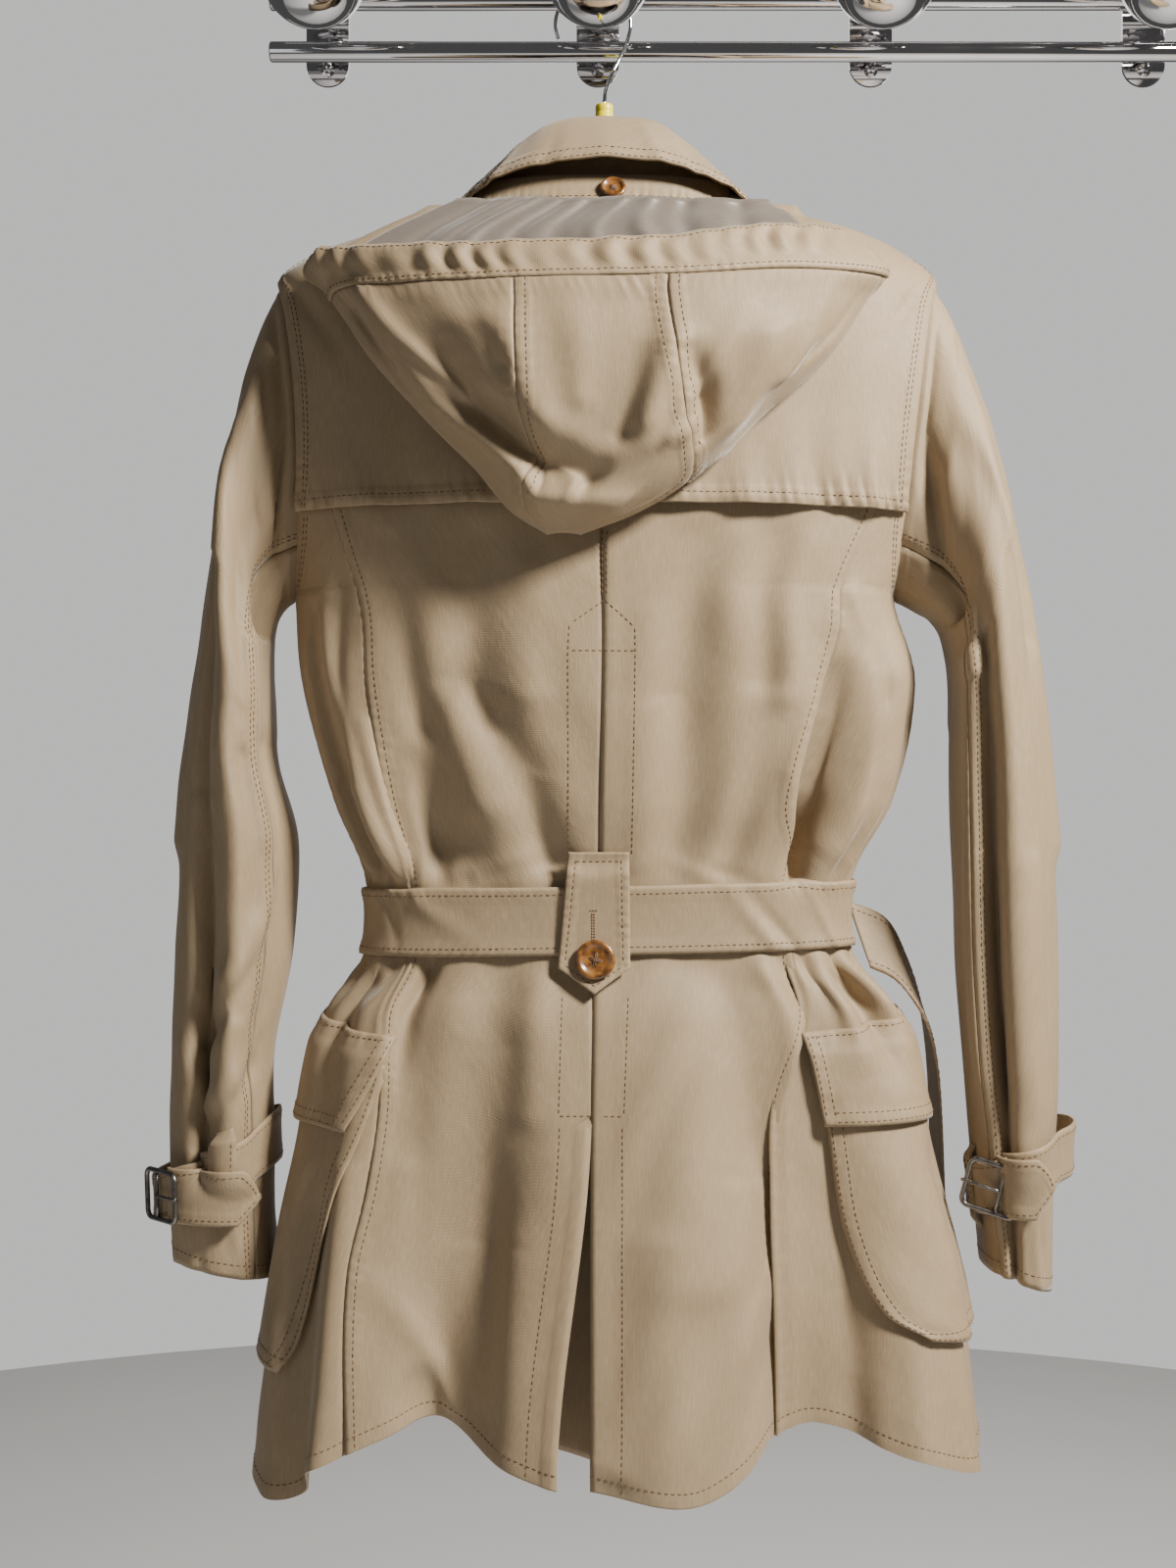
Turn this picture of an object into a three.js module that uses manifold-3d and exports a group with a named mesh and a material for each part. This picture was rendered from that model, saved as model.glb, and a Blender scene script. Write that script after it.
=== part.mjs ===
import * as THREE from "three";
import { mergeVertices } from "three/addons/utils/BufferGeometryUtils.js";
import Module from "manifold-3d";

// A short belted trench coat with a hood, on a hanger that hangs from a wall rack with four pegs.
// Millimetres, +Z up. The wall is the plane y = 0 and the back of the coat faces -Y.
// The origin is on the wall, at the screw of the peg that carries the hanger.
// A left piece is on the wearer's left, which is -X.

const CLOTH = 1.3; // wall of a panel
const SEAM_GAP = 0.3; // between two panels at a seam
const LAYER = 2.4; // from a panel's middle face to that of a piece sewn onto it

// Heights of the coat's landmarks
const NECK_Z = -100;
const SHOULDER_Z = -171; // shoulder tips
const YOKE_Z = -328;
const ARMPIT_Z = -382;
const BELT_Z = -597;
const BELT_WIDTH = 45;
const VENT_Z = -722;
const HEM_Z = -945;

// ---------------------------------------------------------------- helpers

const { cos, sin, PI, abs, sign, min, max, hypot, exp, sqrt, acos } = Math;
const vec = (x, y, z) => new THREE.Vector3(x, y, z);
const mix = (a, b, t) => a + (b - a) * t;
const clamp = (x, low = 0, high = 1) => min(high, max(low, x));
const power = (x, n) => sign(x) * abs(x) ** n;
const steps = (from, to, n) => Array.from({ length: n + 1 }, (_, i) => mix(from, to, i / n));
const ease = (from, to, x) => {
  const t = clamp((x - from) / (to - from));
  return t * t * (3 - 2 * t);
};

// Smooth value of a column of a table whose rows are sorted by the key column.
function column(rows, key, name, at) {
  const rising = rows[0][key] < rows[rows.length - 1][key];
  const beyond = rows.findIndex((row) => (rising ? row[key] >= at : row[key] <= at));
  if (beyond === 0) return rows[0][name];
  if (beyond < 0) return rows[rows.length - 1][name];
  const row = (i) => rows[clamp(i, 0, rows.length - 1)];
  const [p, a, b, n] = [row(beyond - 2), row(beyond - 1), row(beyond), row(beyond + 1)];
  const span = b[key] - a[key];
  const slope = (from, to) => (to === from ? 0 : (to[name] - from[name]) / (to[key] - from[key]));
  const t = (at - a[key]) / span;
  return (
    a[name] * (1 + 2 * t) * (1 - t) ** 2 +
    slope(p, b) * span * t * (1 - t) ** 2 +
    b[name] * t * t * (3 - 2 * t) +
    slope(a, n) * span * t * t * (t - 1)
  );
}

// Sum of soft creases at a point of a panel, in millimetres outward. Each runs from (a0, b0) to (a1, b1),
// and its height goes from from to to along the way. perA and perB turn a and b into millimetres.
function creases(rows, a, b, perA, perB = 1) {
  let sum = 0;
  for (const { a0, b0, a1, b1, width, from, to } of rows) {
    const [da, db] = [(a1 - a0) * perA, (b1 - b0) * perB];
    const [pa, pb] = [(a - a0) * perA, (b - b0) * perB];
    const t = clamp((pa * da + pb * db) / (da * da + db * db));
    const off = hypot(pa - t * da, pb - t * db) / width;
    sum += mix(from, to, t) * exp(-off * off);
  }
  return sum;
}

// The point and the two directions along a surface at (u, v), and its outward normal.
function frameAt(surface, u, v, uStep = 1e-3, vStep = 1e-3) {
  const along = surface(u + uStep, v).sub(surface(u - uStep, v)).normalize();
  const down = surface(u, v + vStep).sub(surface(u, v - vStep)).normalize();
  return { at: surface(u, v), along, down, out: down.clone().cross(along).normalize() };
}

// A closed wall on a surface: the points at the grid of u and v, moved outward to the heights low and high.
// A ring closes on itself in u. turned is for a surface whose u runs against the clock, seen from above.
function wall(surface, us, vs, low, high, { ring = false, turned = false } = {}) {
  const [nu, nv] = [us.length, vs.length];
  const vStep = 1e-3 * sign(vs[nv - 1] - vs[0]);
  const points = [[], []];
  for (const v of vs) {
    for (const u of us) {
      const { at, out } = frameAt(surface, u, v, 1e-3, vStep);
      [low, high].forEach((h, side) => {
        const height = typeof h === "function" ? h(u, v) : h;
        points[side].push(at.clone().addScaledVector(out, turned ? -height : height));
      });
    }
  }
  const index = [];
  const vertex = (side, i, j) => side * nu * nv + j * nu + (i % nu);
  const quad = (a, b, c, d) => (turned ? index.push(a, b, c, a, c, d) : index.push(a, c, b, a, d, c));
  const across = ring ? nu : nu - 1;
  for (let j = 0; j < nv - 1; j++) {
    for (let i = 0; i < across; i++) {
      quad(vertex(1, i, j), vertex(1, i + 1, j), vertex(1, i + 1, j + 1), vertex(1, i, j + 1));
      quad(vertex(0, i, j), vertex(0, i, j + 1), vertex(0, i + 1, j + 1), vertex(0, i + 1, j));
    }
    if (ring) continue;
    quad(vertex(0, 0, j), vertex(1, 0, j), vertex(1, 0, j + 1), vertex(0, 0, j + 1));
    quad(vertex(1, nu - 1, j), vertex(0, nu - 1, j), vertex(0, nu - 1, j + 1), vertex(1, nu - 1, j + 1));
  }
  for (let i = 0; i < across; i++) {
    quad(vertex(0, i, 0), vertex(0, i + 1, 0), vertex(1, i + 1, 0), vertex(1, i, 0));
    quad(vertex(1, i, nv - 1), vertex(1, i + 1, nv - 1), vertex(0, i + 1, nv - 1), vertex(0, i, nv - 1));
  }
  const geometry = new THREE.BufferGeometry();
  const position = [...points[0], ...points[1]].flatMap((p) => [p.x, p.y, p.z]);
  geometry.setAttribute("position", new THREE.Float32BufferAttribute(position, 3));
  geometry.setIndex(index);
  return geometry;
}

const wasm = await Module();
wasm.setup();

function solid(geometry) {
  const bare = geometry.clone();
  bare.deleteAttribute("normal");
  bare.deleteAttribute("uv");
  const merged = mergeVertices(bare, 1e-3);
  return new wasm.Manifold(
    new wasm.Mesh({
      numProp: 3,
      vertProperties: merged.getAttribute("position").array,
      triVerts: new Uint32Array(merged.index.array),
    }),
  );
}

function joined(...geometries) {
  const { vertProperties, triVerts } = geometries.map(solid).reduce((a, b) => a.add(b)).getMesh();
  const geometry = new THREE.BufferGeometry();
  geometry.setAttribute("position", new THREE.BufferAttribute(vertProperties, 3));
  geometry.setIndex(new THREE.BufferAttribute(triVerts, 1));
  return geometry;
}

const FINISH = {
  shell: { color: 0xa08a6c, roughness: 0.62, metalness: 0 },
  lining: { color: 0x8d8580, roughness: 0.4, metalness: 0 },
  horn: { color: 0x6b3f16, roughness: 0.25, metalness: 0 },
  buckle: { color: 0x8b8781, roughness: 0.3, metalness: 1 },
  chrome: { color: 0xd6d4d6, roughness: 0.06, metalness: 1 },
  hanger: { color: 0x2c2b2b, roughness: 0.45, metalness: 0 },
  ferrule: { color: 0xe9cf22, roughness: 0.35, metalness: 0 },
};
const material = Object.fromEntries(
  Object.entries(FINISH).map(([name, look]) => [name, new THREE.MeshStandardMaterial(look)]),
);
const coat = new THREE.Group();

function piece(name, geometry, finish = "shell") {
  const mesh = new THREE.Mesh(geometry, material[finish]);
  mesh.name = name;
  coat.add(mesh);
  return mesh;
}

// ---------------------------------------------------------------- tubes of level sections

// A point of a tube whose level sections are a table's rows. u goes round: 0 is the middle of the back,
// 0.5 the right edge, -0.5 the left edge, 1 and -1 the middle of the front. left, centre and right are x,
// and back, side and front are y. z is the point's height. The result has the outward direction too.
const SQUARENESS = 0.87; // power of a section's sine and cosine: 1 is an ellipse, less is squarer

function tube(rows, u, r, z = r, change = {}) {
  const at = (name) => change[name] ?? column(rows, "z", name, r);
  const wrapped = u > 1 ? u - 2 : u;
  const angle = wrapped * PI;
  const centre = at("centre");
  const halfWidth = change.halfWidth ?? abs((wrapped < 0 ? at("left") : at("right")) - centre);
  const depth = cos(angle) > 0 ? at("back") - at("side") : at("side") - at("front");
  const point = vec(
    centre + halfWidth * power(sin(angle), SQUARENESS),
    at("side") + depth * power(cos(angle), SQUARENESS),
    z,
  );
  return { point, out: vec(sin(angle) / halfWidth, -cos(angle) / abs(depth), 0).normalize() };
}

// Values of u from from to to, closer together where a section turns round its edge at 0.5
const crowd = (u) => u + (0.65 * sin(2 * PI * u)) / (2 * PI);
const round = (from, to, n) =>
  steps(0, 1, n).map((share, i) => {
    if (i === 0 || i === n) return i ? to : from;
    const goal = mix(spread(from), spread(to), share);
    return crowd(goal);
  });
// The inverse of crowd
function spread(u) {
  let [low, high] = [u - 0.2, u + 0.2];
  for (let i = 0; i < 40; i++) {
    const middle = (low + high) / 2;
    if (crowd(middle) < u) low = middle;
    else high = middle;
  }
  return low;
}
const shares = (list) => list.map((u) => (u - list[0]) / (list[list.length - 1] - list[0]));

// ---------------------------------------------------------------- the body's form

const BODY = [
  { z: NECK_Z, left: -84, centre: 2, right: 88, back: -86, side: -53, front: -27 },
  { z: -128, left: -132, centre: 2, right: 164, back: -97, side: -55, front: -24 },
  { z: -148, left: -178, centre: 2, right: 197, back: -104, side: -56, front: -22 },
  { z: SHOULDER_Z, left: -213, centre: 2, right: 225, back: -112, side: -57, front: -20 },
  { z: -230, left: -213, centre: 2, right: 219, back: -123, side: -59, front: -16 },
  { z: -320, left: -209, centre: 2, right: 208, back: -129, side: -60, front: -13 },
  { z: ARMPIT_Z, left: -204, centre: 2, right: 199, back: -131, side: -61, front: -11 },
  { z: -440, left: -199, centre: 2, right: 213, back: -131, side: -63, front: -11 },
  { z: -520, left: -177, centre: 1, right: 197, back: -127, side: -66, front: -13 },
  { z: -572, left: -156, centre: 0, right: 170, back: -119, side: -67, front: -18 },
  { z: -622, left: -157, centre: -3, right: 171, back: -120, side: -67, front: -19 },
  { z: -662, left: -181, centre: -4, right: 201, back: -134, side: -68, front: -15 },
  { z: -740, left: -194, centre: -5, right: 217, back: -150, side: -70, front: -12 },
  { z: -830, left: -208, centre: -6, right: 238, back: -168, side: -74, front: -10 },
  { z: HEM_Z, left: -218, centre: -7, right: 252, back: -188, side: -80, front: -10 },
];
const U_SPAN = 490; // millimetres of cloth from the middle of the back to that of the front

const BODY_FOLDS = [
  // Skirt: hollows between the vent and the side seams, ridges beside them
  { a0: -0.17, b0: -650, a1: -0.14, b1: -960, width: 40, from: -4, to: -46 },
  { a0: -0.285, b0: -660, a1: -0.26, b1: -960, width: 24, from: 6, to: 15 },
  { a0: 0.21, b0: -650, a1: 0.175, b1: -960, width: 38, from: -5, to: -42 },
  { a0: 0.38, b0: -700, a1: 0.37, b1: -960, width: 36, from: 2, to: 12 },
  { a0: -0.42, b0: -660, a1: -0.44, b1: -960, width: 34, from: 3, to: 12 },
  { a0: 0.055, b0: -700, a1: 0.06, b1: -960, width: 30, from: 2, to: 10 },
  { a0: -0.75, b0: -660, a1: -0.76, b1: -960, width: 36, from: -2, to: -16 },
  { a0: 0.74, b0: -660, a1: 0.76, b1: -960, width: 36, from: -2, to: -16 },
  // Above the belt: the deep fold beside the right seam, and the hollows of the left back
  { a0: 0.25, b0: -420, a1: 0.262, b1: -585, width: 18, from: -6, to: -36 },
  { a0: 0.345, b0: -440, a1: 0.335, b1: -565, width: 17, from: 3, to: 9 },
  { a0: -0.17, b0: -470, a1: -0.215, b1: -575, width: 32, from: -5, to: -16 },
  { a0: -0.305, b0: -420, a1: -0.3, b1: -565, width: 18, from: 3, to: 12 },
  { a0: 0.13, b0: -380, a1: 0.12, b1: -565, width: 22, from: -4, to: -8 },
  // Gathers that the belt pulls in below itself
  { a0: -0.345, b0: -640, a1: -0.375, b1: -700, width: 12, from: -11, to: 0 },
  { a0: -0.31, b0: -640, a1: -0.32, b1: -690, width: 13, from: 4, to: 0 },
  { a0: 0.33, b0: -640, a1: 0.36, b1: -712, width: 13, from: -13, to: 0 },
  { a0: 0.285, b0: -640, a1: 0.3, b1: -700, width: 11, from: 7, to: 0 },
  { a0: 0.39, b0: -640, a1: 0.42, b1: -690, width: 12, from: 7, to: 0 },
];

// The armholes: flattened rings that the body's panels and the sleeves end on. bow is how far the ring's
// middle lies off the straight line from tip to pit.
const ARMHOLE = {
  left: { hand: -1, tip: -213, pit: -204, bow: 9 },
  right: { hand: 1, tip: 225, pit: 199, bow: -3 },
};
const ARMHOLE_Y = -58;
const ARMHOLE_DEPTH = 37;

// How the section changes in the armhole's height, and the share of the quarter that the panel covers
function armhole(side, r) {
  const { hand, tip, pit, bow } = ARMHOLE[side];
  if (r >= SHOULDER_Z || r <= ARMPIT_Z) return { share: 1 };
  const t = (SHOULDER_Z - r) / (SHOULDER_Z - ARMPIT_Z);
  const half = ARMHOLE_DEPTH * 2 * sqrt(t * (1 - t));
  const reach = (name) => {
    const cosine = clamp(half / abs(column(BODY, "z", name, r) - ARMHOLE_Y)) ** (1 / SQUARENESS);
    return acos(cosine) / (PI / 2);
  };
  const x = mix(tip, pit, t) + bow * 4 * t * (1 - t);
  return { hand, x, back: reach("back"), front: reach("front") };
}
const share = (side, r, face) => armhole(side, r)[face] ?? 1;

const HEM = [
  { u: -1, drop: 26 },
  { u: -0.7, drop: 20 },
  { u: -0.46, drop: -12 },
  { u: -0.36, drop: -22 },
  { u: -0.27, drop: 8 },
  { u: -0.16, drop: 33 },
  { u: -0.07, drop: 16 },
  { u: 0, drop: 3 },
  { u: 0.07, drop: -6 },
  { u: 0.13, drop: 18 },
  { u: 0.19, drop: 28 },
  { u: 0.28, drop: 10 },
  { u: 0.38, drop: -4 },
  { u: 0.5, drop: 4 },
  { u: 0.7, drop: 20 },
  { u: 1, drop: 26 },
];
const NECK_DROP = { back: 12, front: 62 };

function level(u, r) {
  const middle = (1 + cos(2 * PI * u)) / 2; // 1 at the middles, 0 at the edges
  const neck = abs(u) < 0.5 ? NECK_DROP.back * ease(-160, NECK_Z, r) : NECK_DROP.front * ease(-320, NECK_Z, r);
  return r - neck * middle + column(HEM, "u", "drop", u) * ease(-780, HEM_Z, r);
}

// A point of the body's middle face. r is the height before the neckline's drop and the hem's swing.
function body(anyU, r) {
  const u = anyU > 1 ? anyU - 2 : anyU < -1 ? anyU + 2 : anyU;
  const side = u < 0 ? "left" : "right";
  const { x, back, front } = armhole(side, r);
  const covers = abs(u) < 0.5 ? back : front;
  const change = {};
  let calm = 1;
  if (covers !== undefined) {
    change.side = ARMHOLE_Y;
    change.halfWidth = abs(x - column(BODY, "z", "centre", r)) / sin((covers * PI) / 2) ** SQUARENESS;
    calm = 0;
  }
  const { point, out } = tube(BODY, u, r, level(u, r), change);
  calm *= ease(-385, -440, r) * (1 - exp(-(((r - BELT_Z) / 40) ** 4)));
  return point.addScaledVector(out, creases(BODY_FOLDS, u, r, U_SPAN) * calm);
}

// ---------------------------------------------------------------- body panels

const armholeTurns = steps(0, PI, 8);
const armholeRows = armholeTurns.map((a) => mix(SHOULDER_Z, ARMPIT_Z, (1 - cos(a)) / 2));
const upperRows = [NECK_Z, -128, -148, ...armholeRows];
const lowerRows = [-415, -450, -485, -520, -546, -572, -597, -622, -645, -670, -702];
lowerRows.push(...steps(-740, HEM_Z, 4));

const sideShares = [0, 0.14, 0.28, 0.43, 0.58, 0.74, 0.88, 1]; // of the way from the back seam to the side seam
const mirrored = (list) => list.map((share) => 1 - share).reverse();
const flankShares = { left: mirrored(sideShares), right: sideShares };

// Where the seam between the back and side panels runs
const BACK_SEAM = [
  { z: -320, left: 0.29, right: 0.3 },
  { z: -355, left: 0.28, right: 0.285 },
  { z: -400, left: 0.26, right: 0.268 },
  { z: -443, left: 0.262, right: 0.226 },
  { z: -520, left: 0.272, right: 0.206 },
  { z: -568, left: 0.28, right: 0.249 },
  { z: -635, left: 0.275, right: 0.249 },
  { z: -703, left: 0.25, right: 0.187 },
  { z: -767, left: 0.25, right: 0.17 },
  { z: -821, left: 0.258, right: 0.163 },
  { z: HEM_Z, left: 0.24, right: 0.16 },
];
const STEP_Z = -316; // under the yoke, where the back panel's edge goes from the armhole to the seam
const U_GAP = 0.35 / 380;
const VENT_SWING = { left: 19, right: 1.5 }; // how far each edge of the vent has swung away at the hem

const backEdge = (side, r) =>
  r > STEP_Z ? 0.5 * share(side, r, "back") : column(BACK_SEAM, "z", side, r) - U_GAP;
const sideEdge = (side, r) => 0.5 * share(side, r, "back") - (r <= ARMPIT_Z ? U_GAP : 0);
const frontEdge = (side, r) =>
  1 - 0.5 * share(side, r, "front") + (r <= ARMPIT_Z || r >= SHOULDER_Z ? U_GAP : 0);

// A panel from u = from to u = to, both functions of the height, on the left or the right
function panel(side, from, to, change = (p) => p) {
  const { hand } = ARMHOLE[side];
  return (s, r) => {
    const t = hand > 0 ? s : 1 - s;
    return change(body(hand * mix(from(r), to(r), t), r), t, r, hand);
  };
}
const backRows = [...upperRows.filter((r) => r > STEP_Z + 8), STEP_Z + 3, STEP_Z];
backRows.push(...armholeRows.filter((r) => r < STEP_Z - 8), ...lowerRows);
const sideRows = [STEP_Z - SEAM_GAP * 2, ...armholeRows.filter((r) => r < STEP_Z - 8), ...lowerRows];
const frontRows = [...upperRows, -450, -520, -572, -597, -622, -670, ...steps(-740, HEM_Z, 4)];

for (const side of ["left", "right"]) {
  const swing = (p, t, r, hand) => {
    p.x += hand * VENT_SWING[side] * ease(VENT_Z, HEM_Z, r) * (1 - t) ** 3;
    return p;
  };
  const edge = (r) => (r > STEP_Z + 1 ? min(backEdge(side, r), 0.5 - U_GAP) : backEdge(side, r));
  const back = panel(side, () => 2 * U_GAP, edge, swing);
  piece(`back_${side}`, wall(back, steps(0, 1, 8), backRows, -CLOTH / 2, CLOTH / 2));
  const flank = panel(side, (r) => column(BACK_SEAM, "z", side, r) + U_GAP, (r) => sideEdge(side, r));
  piece(`side_${side}`, wall(flank, flankShares[side], sideRows, -CLOTH / 2, CLOTH / 2));
}

// The fronts overlap at the middle, the right one outside
const OVERLAP_U = 0.06;
const frontLeft = panel("left", (r) => frontEdge("left", r), () => 1 + OVERLAP_U);
const frontRight = panel("right", (r) => frontEdge("right", r), () => 1 + OVERLAP_U);
const frontRise = (s, r) => {
  const u = mix(frontEdge("right", r), 1 + OVERLAP_U, s);
  return 1.4 * LAYER * ease(1 - 2.6 * OVERLAP_U, 1 - 1.5 * OVERLAP_U, u);
};
piece("front_left", wall(frontLeft, shares(round(-1 - OVERLAP_U, -0.5, 8)), frontRows, -CLOTH / 2, CLOTH / 2));
piece(
  "front_right",
  wall(
    frontRight,
    shares([...round(0.5, 0.8, 5), 0.86, 0.92, 0.98, 1 + OVERLAP_U]),
    frontRows,
    (s, r) => frontRise(s, r) - CLOTH / 2,
    (s, r) => frontRise(s, r) + CLOTH / 2,
  ),
);

// The pleat's inner layer bridges the vent and sinks in between the two backs
const PLEAT = { width: 0.1, depth: 30, top: VENT_Z + 14, bottom: -932 };
const pleatDepth = (u, r) =>
  LAYER + PLEAT.depth * ease(VENT_Z, HEM_Z, r) * cos((clamp(u / PLEAT.width, -1, 1) * PI) / 2) ** 2;
piece(
  "pleat_underlay",
  wall(
    body,
    steps(-PLEAT.width, PLEAT.width, 6),
    steps(PLEAT.top, PLEAT.bottom, 4),
    (u, r) => -pleatDepth(u, r) - CLOTH / 2,
    (u, r) => -pleatDepth(u, r) + CLOTH / 2,
  ),
);

// The yoke is sewn in at the shoulders and the armholes, and its gathered hem stands off the backs
const yokeSurface = (s, r) => {
  const side = s < 0 ? "left" : "right";
  return body(s * (0.5 * share(side, r, "back") - 0.02), r);
};
const yokeRise = (s, r) => {
  const free = ease(-215, YOKE_Z, r);
  const tip = 1.4 * s ** 6 * exp(-(((r - SHOULDER_Z) / 16) ** 2));
  return tip + mix(CLOTH + 0.5, LAYER + 0.5, ease(-110, -160, r)) + free * (4 + 1.1 * sin(s * 34) + 0.8 * sin(s * 61 + 1)) * (1 - 0.8 * s ** 8);
};
piece(
  "yoke",
  wall(
    yokeSurface,
    steps(-1, 1, 24),
    [-108, ...upperRows.filter((r) => r < -110 && r > YOKE_Z + 15), YOKE_Z],
    (s, r) => yokeRise(s, r) - CLOTH / 2,
    (s, r) => yokeRise(s, r) + CLOTH / 2,
  ),
);

// ---------------------------------------------------------------- sleeves

// Rings of a sleeve. out and in are its outer and inner edge, y0 the face towards the viewer of the back
// and y1 the face towards the wall. square is the power of the ring's sine and cosine.
const SLEEVES = {
  left: [
    { t: 0, outX: -213, outZ: SHOULDER_Z, inX: -204, inZ: ARMPIT_Z, y0: -95, y1: -21, bow: 9, square: 1 },
    { t: 0.08, outX: -226, outZ: -198, inX: -210, inZ: -387, y0: -100, y1: -19, bow: -2, square: 1 },
    { t: 0.16, outX: -238, outZ: -240, inX: -215, inZ: -393, y0: -106, y1: -17, bow: -9, square: 0.95 },
    { t: 0.25, outX: -247, outZ: -292, inX: -219, inZ: -402, y0: -111, y1: -15, bow: -8, square: 0.9 },
    { t: 0.34, outX: -256, outZ: -352, inX: -221, inZ: -420, y0: -114, y1: -14, bow: -4, square: 0.86 },
    { t: 0.43, outX: -265, outZ: -420, inX: -220, inZ: -452, y0: -115, y1: -14, bow: 0, square: 0.84 },
    { t: 0.52, outX: -274, outZ: -486, inX: -217, inZ: -495, y0: -114, y1: -14, bow: 0, square: 0.84 },
    { t: 0.61, outX: -280, outZ: -552, inX: -203, inZ: -548, y0: -112, y1: -15, bow: 0, square: 0.84 },
    { t: 0.7, outX: -284, outZ: -622, inX: -206, inZ: -618, y0: -109, y1: -17, bow: 0, square: 0.86 },
    { t: 0.8, outX: -287, outZ: -695, inX: -219, inZ: -692, y0: -106, y1: -19, bow: 0, square: 0.88 },
    { t: 0.9, outX: -288, outZ: -758, inX: -219, inZ: -766, y0: -104, y1: -20, bow: 0, square: 0.9 },
    { t: 1, outX: -286, outZ: -824, inX: -217, inZ: -838, y0: -103, y1: -22, bow: 0, square: 0.9 },
  ],
  right: [
    { t: 0, outX: 225, outZ: SHOULDER_Z, inX: 199, inZ: ARMPIT_Z, y0: -95, y1: -21, bow: -3, square: 1 },
    { t: 0.08, outX: 238, outZ: -195, inX: 207, inZ: -387, y0: -100, y1: -19, bow: 6, square: 1 },
    { t: 0.16, outX: 254, outZ: -236, inX: 216, inZ: -392, y0: -106, y1: -17, bow: 10, square: 0.95 },
    { t: 0.25, outX: 269, outZ: -290, inX: 226, inZ: -398, y0: -111, y1: -15, bow: 8, square: 0.9 },
    { t: 0.34, outX: 281, outZ: -348, inX: 234, inZ: -412, y0: -114, y1: -14, bow: 4, square: 0.86 },
    { t: 0.43, outX: 292, outZ: -415, inX: 238, inZ: -444, y0: -115, y1: -14, bow: 0, square: 0.84 },
    { t: 0.52, outX: 300, outZ: -484, inX: 238, inZ: -490, y0: -114, y1: -14, bow: 0, square: 0.84 },
    { t: 0.61, outX: 306, outZ: -555, inX: 239, inZ: -553, y0: -112, y1: -15, bow: 0, square: 0.84 },
    { t: 0.7, outX: 309, outZ: -624, inX: 241, inZ: -622, y0: -109, y1: -17, bow: 0, square: 0.86 },
    { t: 0.8, outX: 310, outZ: -692, inX: 246, inZ: -690, y0: -106, y1: -19, bow: 0, square: 0.88 },
    { t: 0.9, outX: 307, outZ: -762, inX: 253, inZ: -760, y0: -104, y1: -20, bow: 0, square: 0.9 },
    { t: 1, outX: 304, outZ: -846, inX: 260, inZ: -832, y0: -103, y1: -22, bow: 0, square: 0.9 },
  ],
};
// a goes round a sleeve: 0 its outer edge, 0.25 its back, 0.5 its inner edge, 0.75 its front
const SLEEVE_FOLDS = {
  left: [
    { a0: 0.3, b0: 0.1, a1: 0.3, b1: 0.42, width: 13, from: -5, to: -13 },
    { a0: 0.2, b0: 0.3, a1: 0.17, b1: 0.85, width: 13, from: 4, to: 7 },
    { a0: 0.1, b0: 0.45, a1: 0.08, b1: 0.95, width: 14, from: -4, to: -8 },
    { a0: 0.4, b0: 0.55, a1: 0.33, b1: 0.8, width: 16, from: 4, to: -3 },
    { a0: 0.85, b0: 0.3, a1: 0.86, b1: 0.9, width: 20, from: -4, to: -7 },
    { a0: 0.62, b0: 0.4, a1: 0.6, b1: 0.9, width: 16, from: -3, to: -6 },
  ],
  right: [
    { a0: 0.33, b0: 0.1, a1: 0.32, b1: 0.4, width: 12, from: -5, to: -14 },
    { a0: 0.16, b0: 0.2, a1: 0.18, b1: 0.6, width: 18, from: 3, to: 6 },
    { a0: 0.2, b0: 0.62, a1: 0.22, b1: 0.95, width: 12, from: -6, to: -13 },
    { a0: 0.33, b0: 0.55, a1: 0.33, b1: 0.9, width: 15, from: 2, to: 5 },
    { a0: 0.85, b0: 0.3, a1: 0.86, b1: 0.9, width: 20, from: -4, to: -7 },
    { a0: 0.62, b0: 0.4, a1: 0.6, b1: 0.9, width: 16, from: -3, to: -6 },
  ],
};
const SLEEVE_AROUND = 300; // girth and length of a sleeve
const SLEEVE_LENGTH = 690;

function sleeve(side) {
  const rows = SLEEVES[side];
  const { hand } = ARMHOLE[side];
  return (a, t) => {
    const at = (name) => column(rows, "t", name, t);
    const angle = 2 * PI * a;
    const [across, through] = [power(cos(angle), at("square")), power(sin(angle), at("square"))];
    const [outX, outZ, inX, inZ, y0, y1] = ["outX", "outZ", "inX", "inZ", "y0", "y1"].map(at);
    const p = vec(
      mix(inX, outX, (across + 1) / 2) + at("bow") * sin(angle) ** 2,
      mix(y1, y0, (through + 1) / 2),
      mix(inZ, outZ, (across + 1) / 2),
    );
    p.x += hand * (CLOTH + 0.8) * (1 - ease(0, 0.1, t));
    const around = a < 0 ? a + 1 : a;
    const height = creases(SLEEVE_FOLDS[side], around, t, SLEEVE_AROUND, SLEEVE_LENGTH);
    const out = vec(hand * cos(angle), -sin(angle), 0);
    return p.addScaledVector(out, height * ease(0.02, 0.12, t));
  };
}
const sleeveRows = steps(0, 1, 12);
// The under sleeve lies between the seams at the back and the front of the inner edge
const UNDER_SLEEVE = { back: 0.37, front: 0.66 };
const armholeShares = armholeTurns.map((a) => a / (2 * PI));
const aroundUpper = [...steps(UNDER_SLEEVE.front - 1, 0, 5).slice(0, -1), ...steps(0, UNDER_SLEEVE.back, 7)];
const SLEEVE_GAP = 0.0012;

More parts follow.
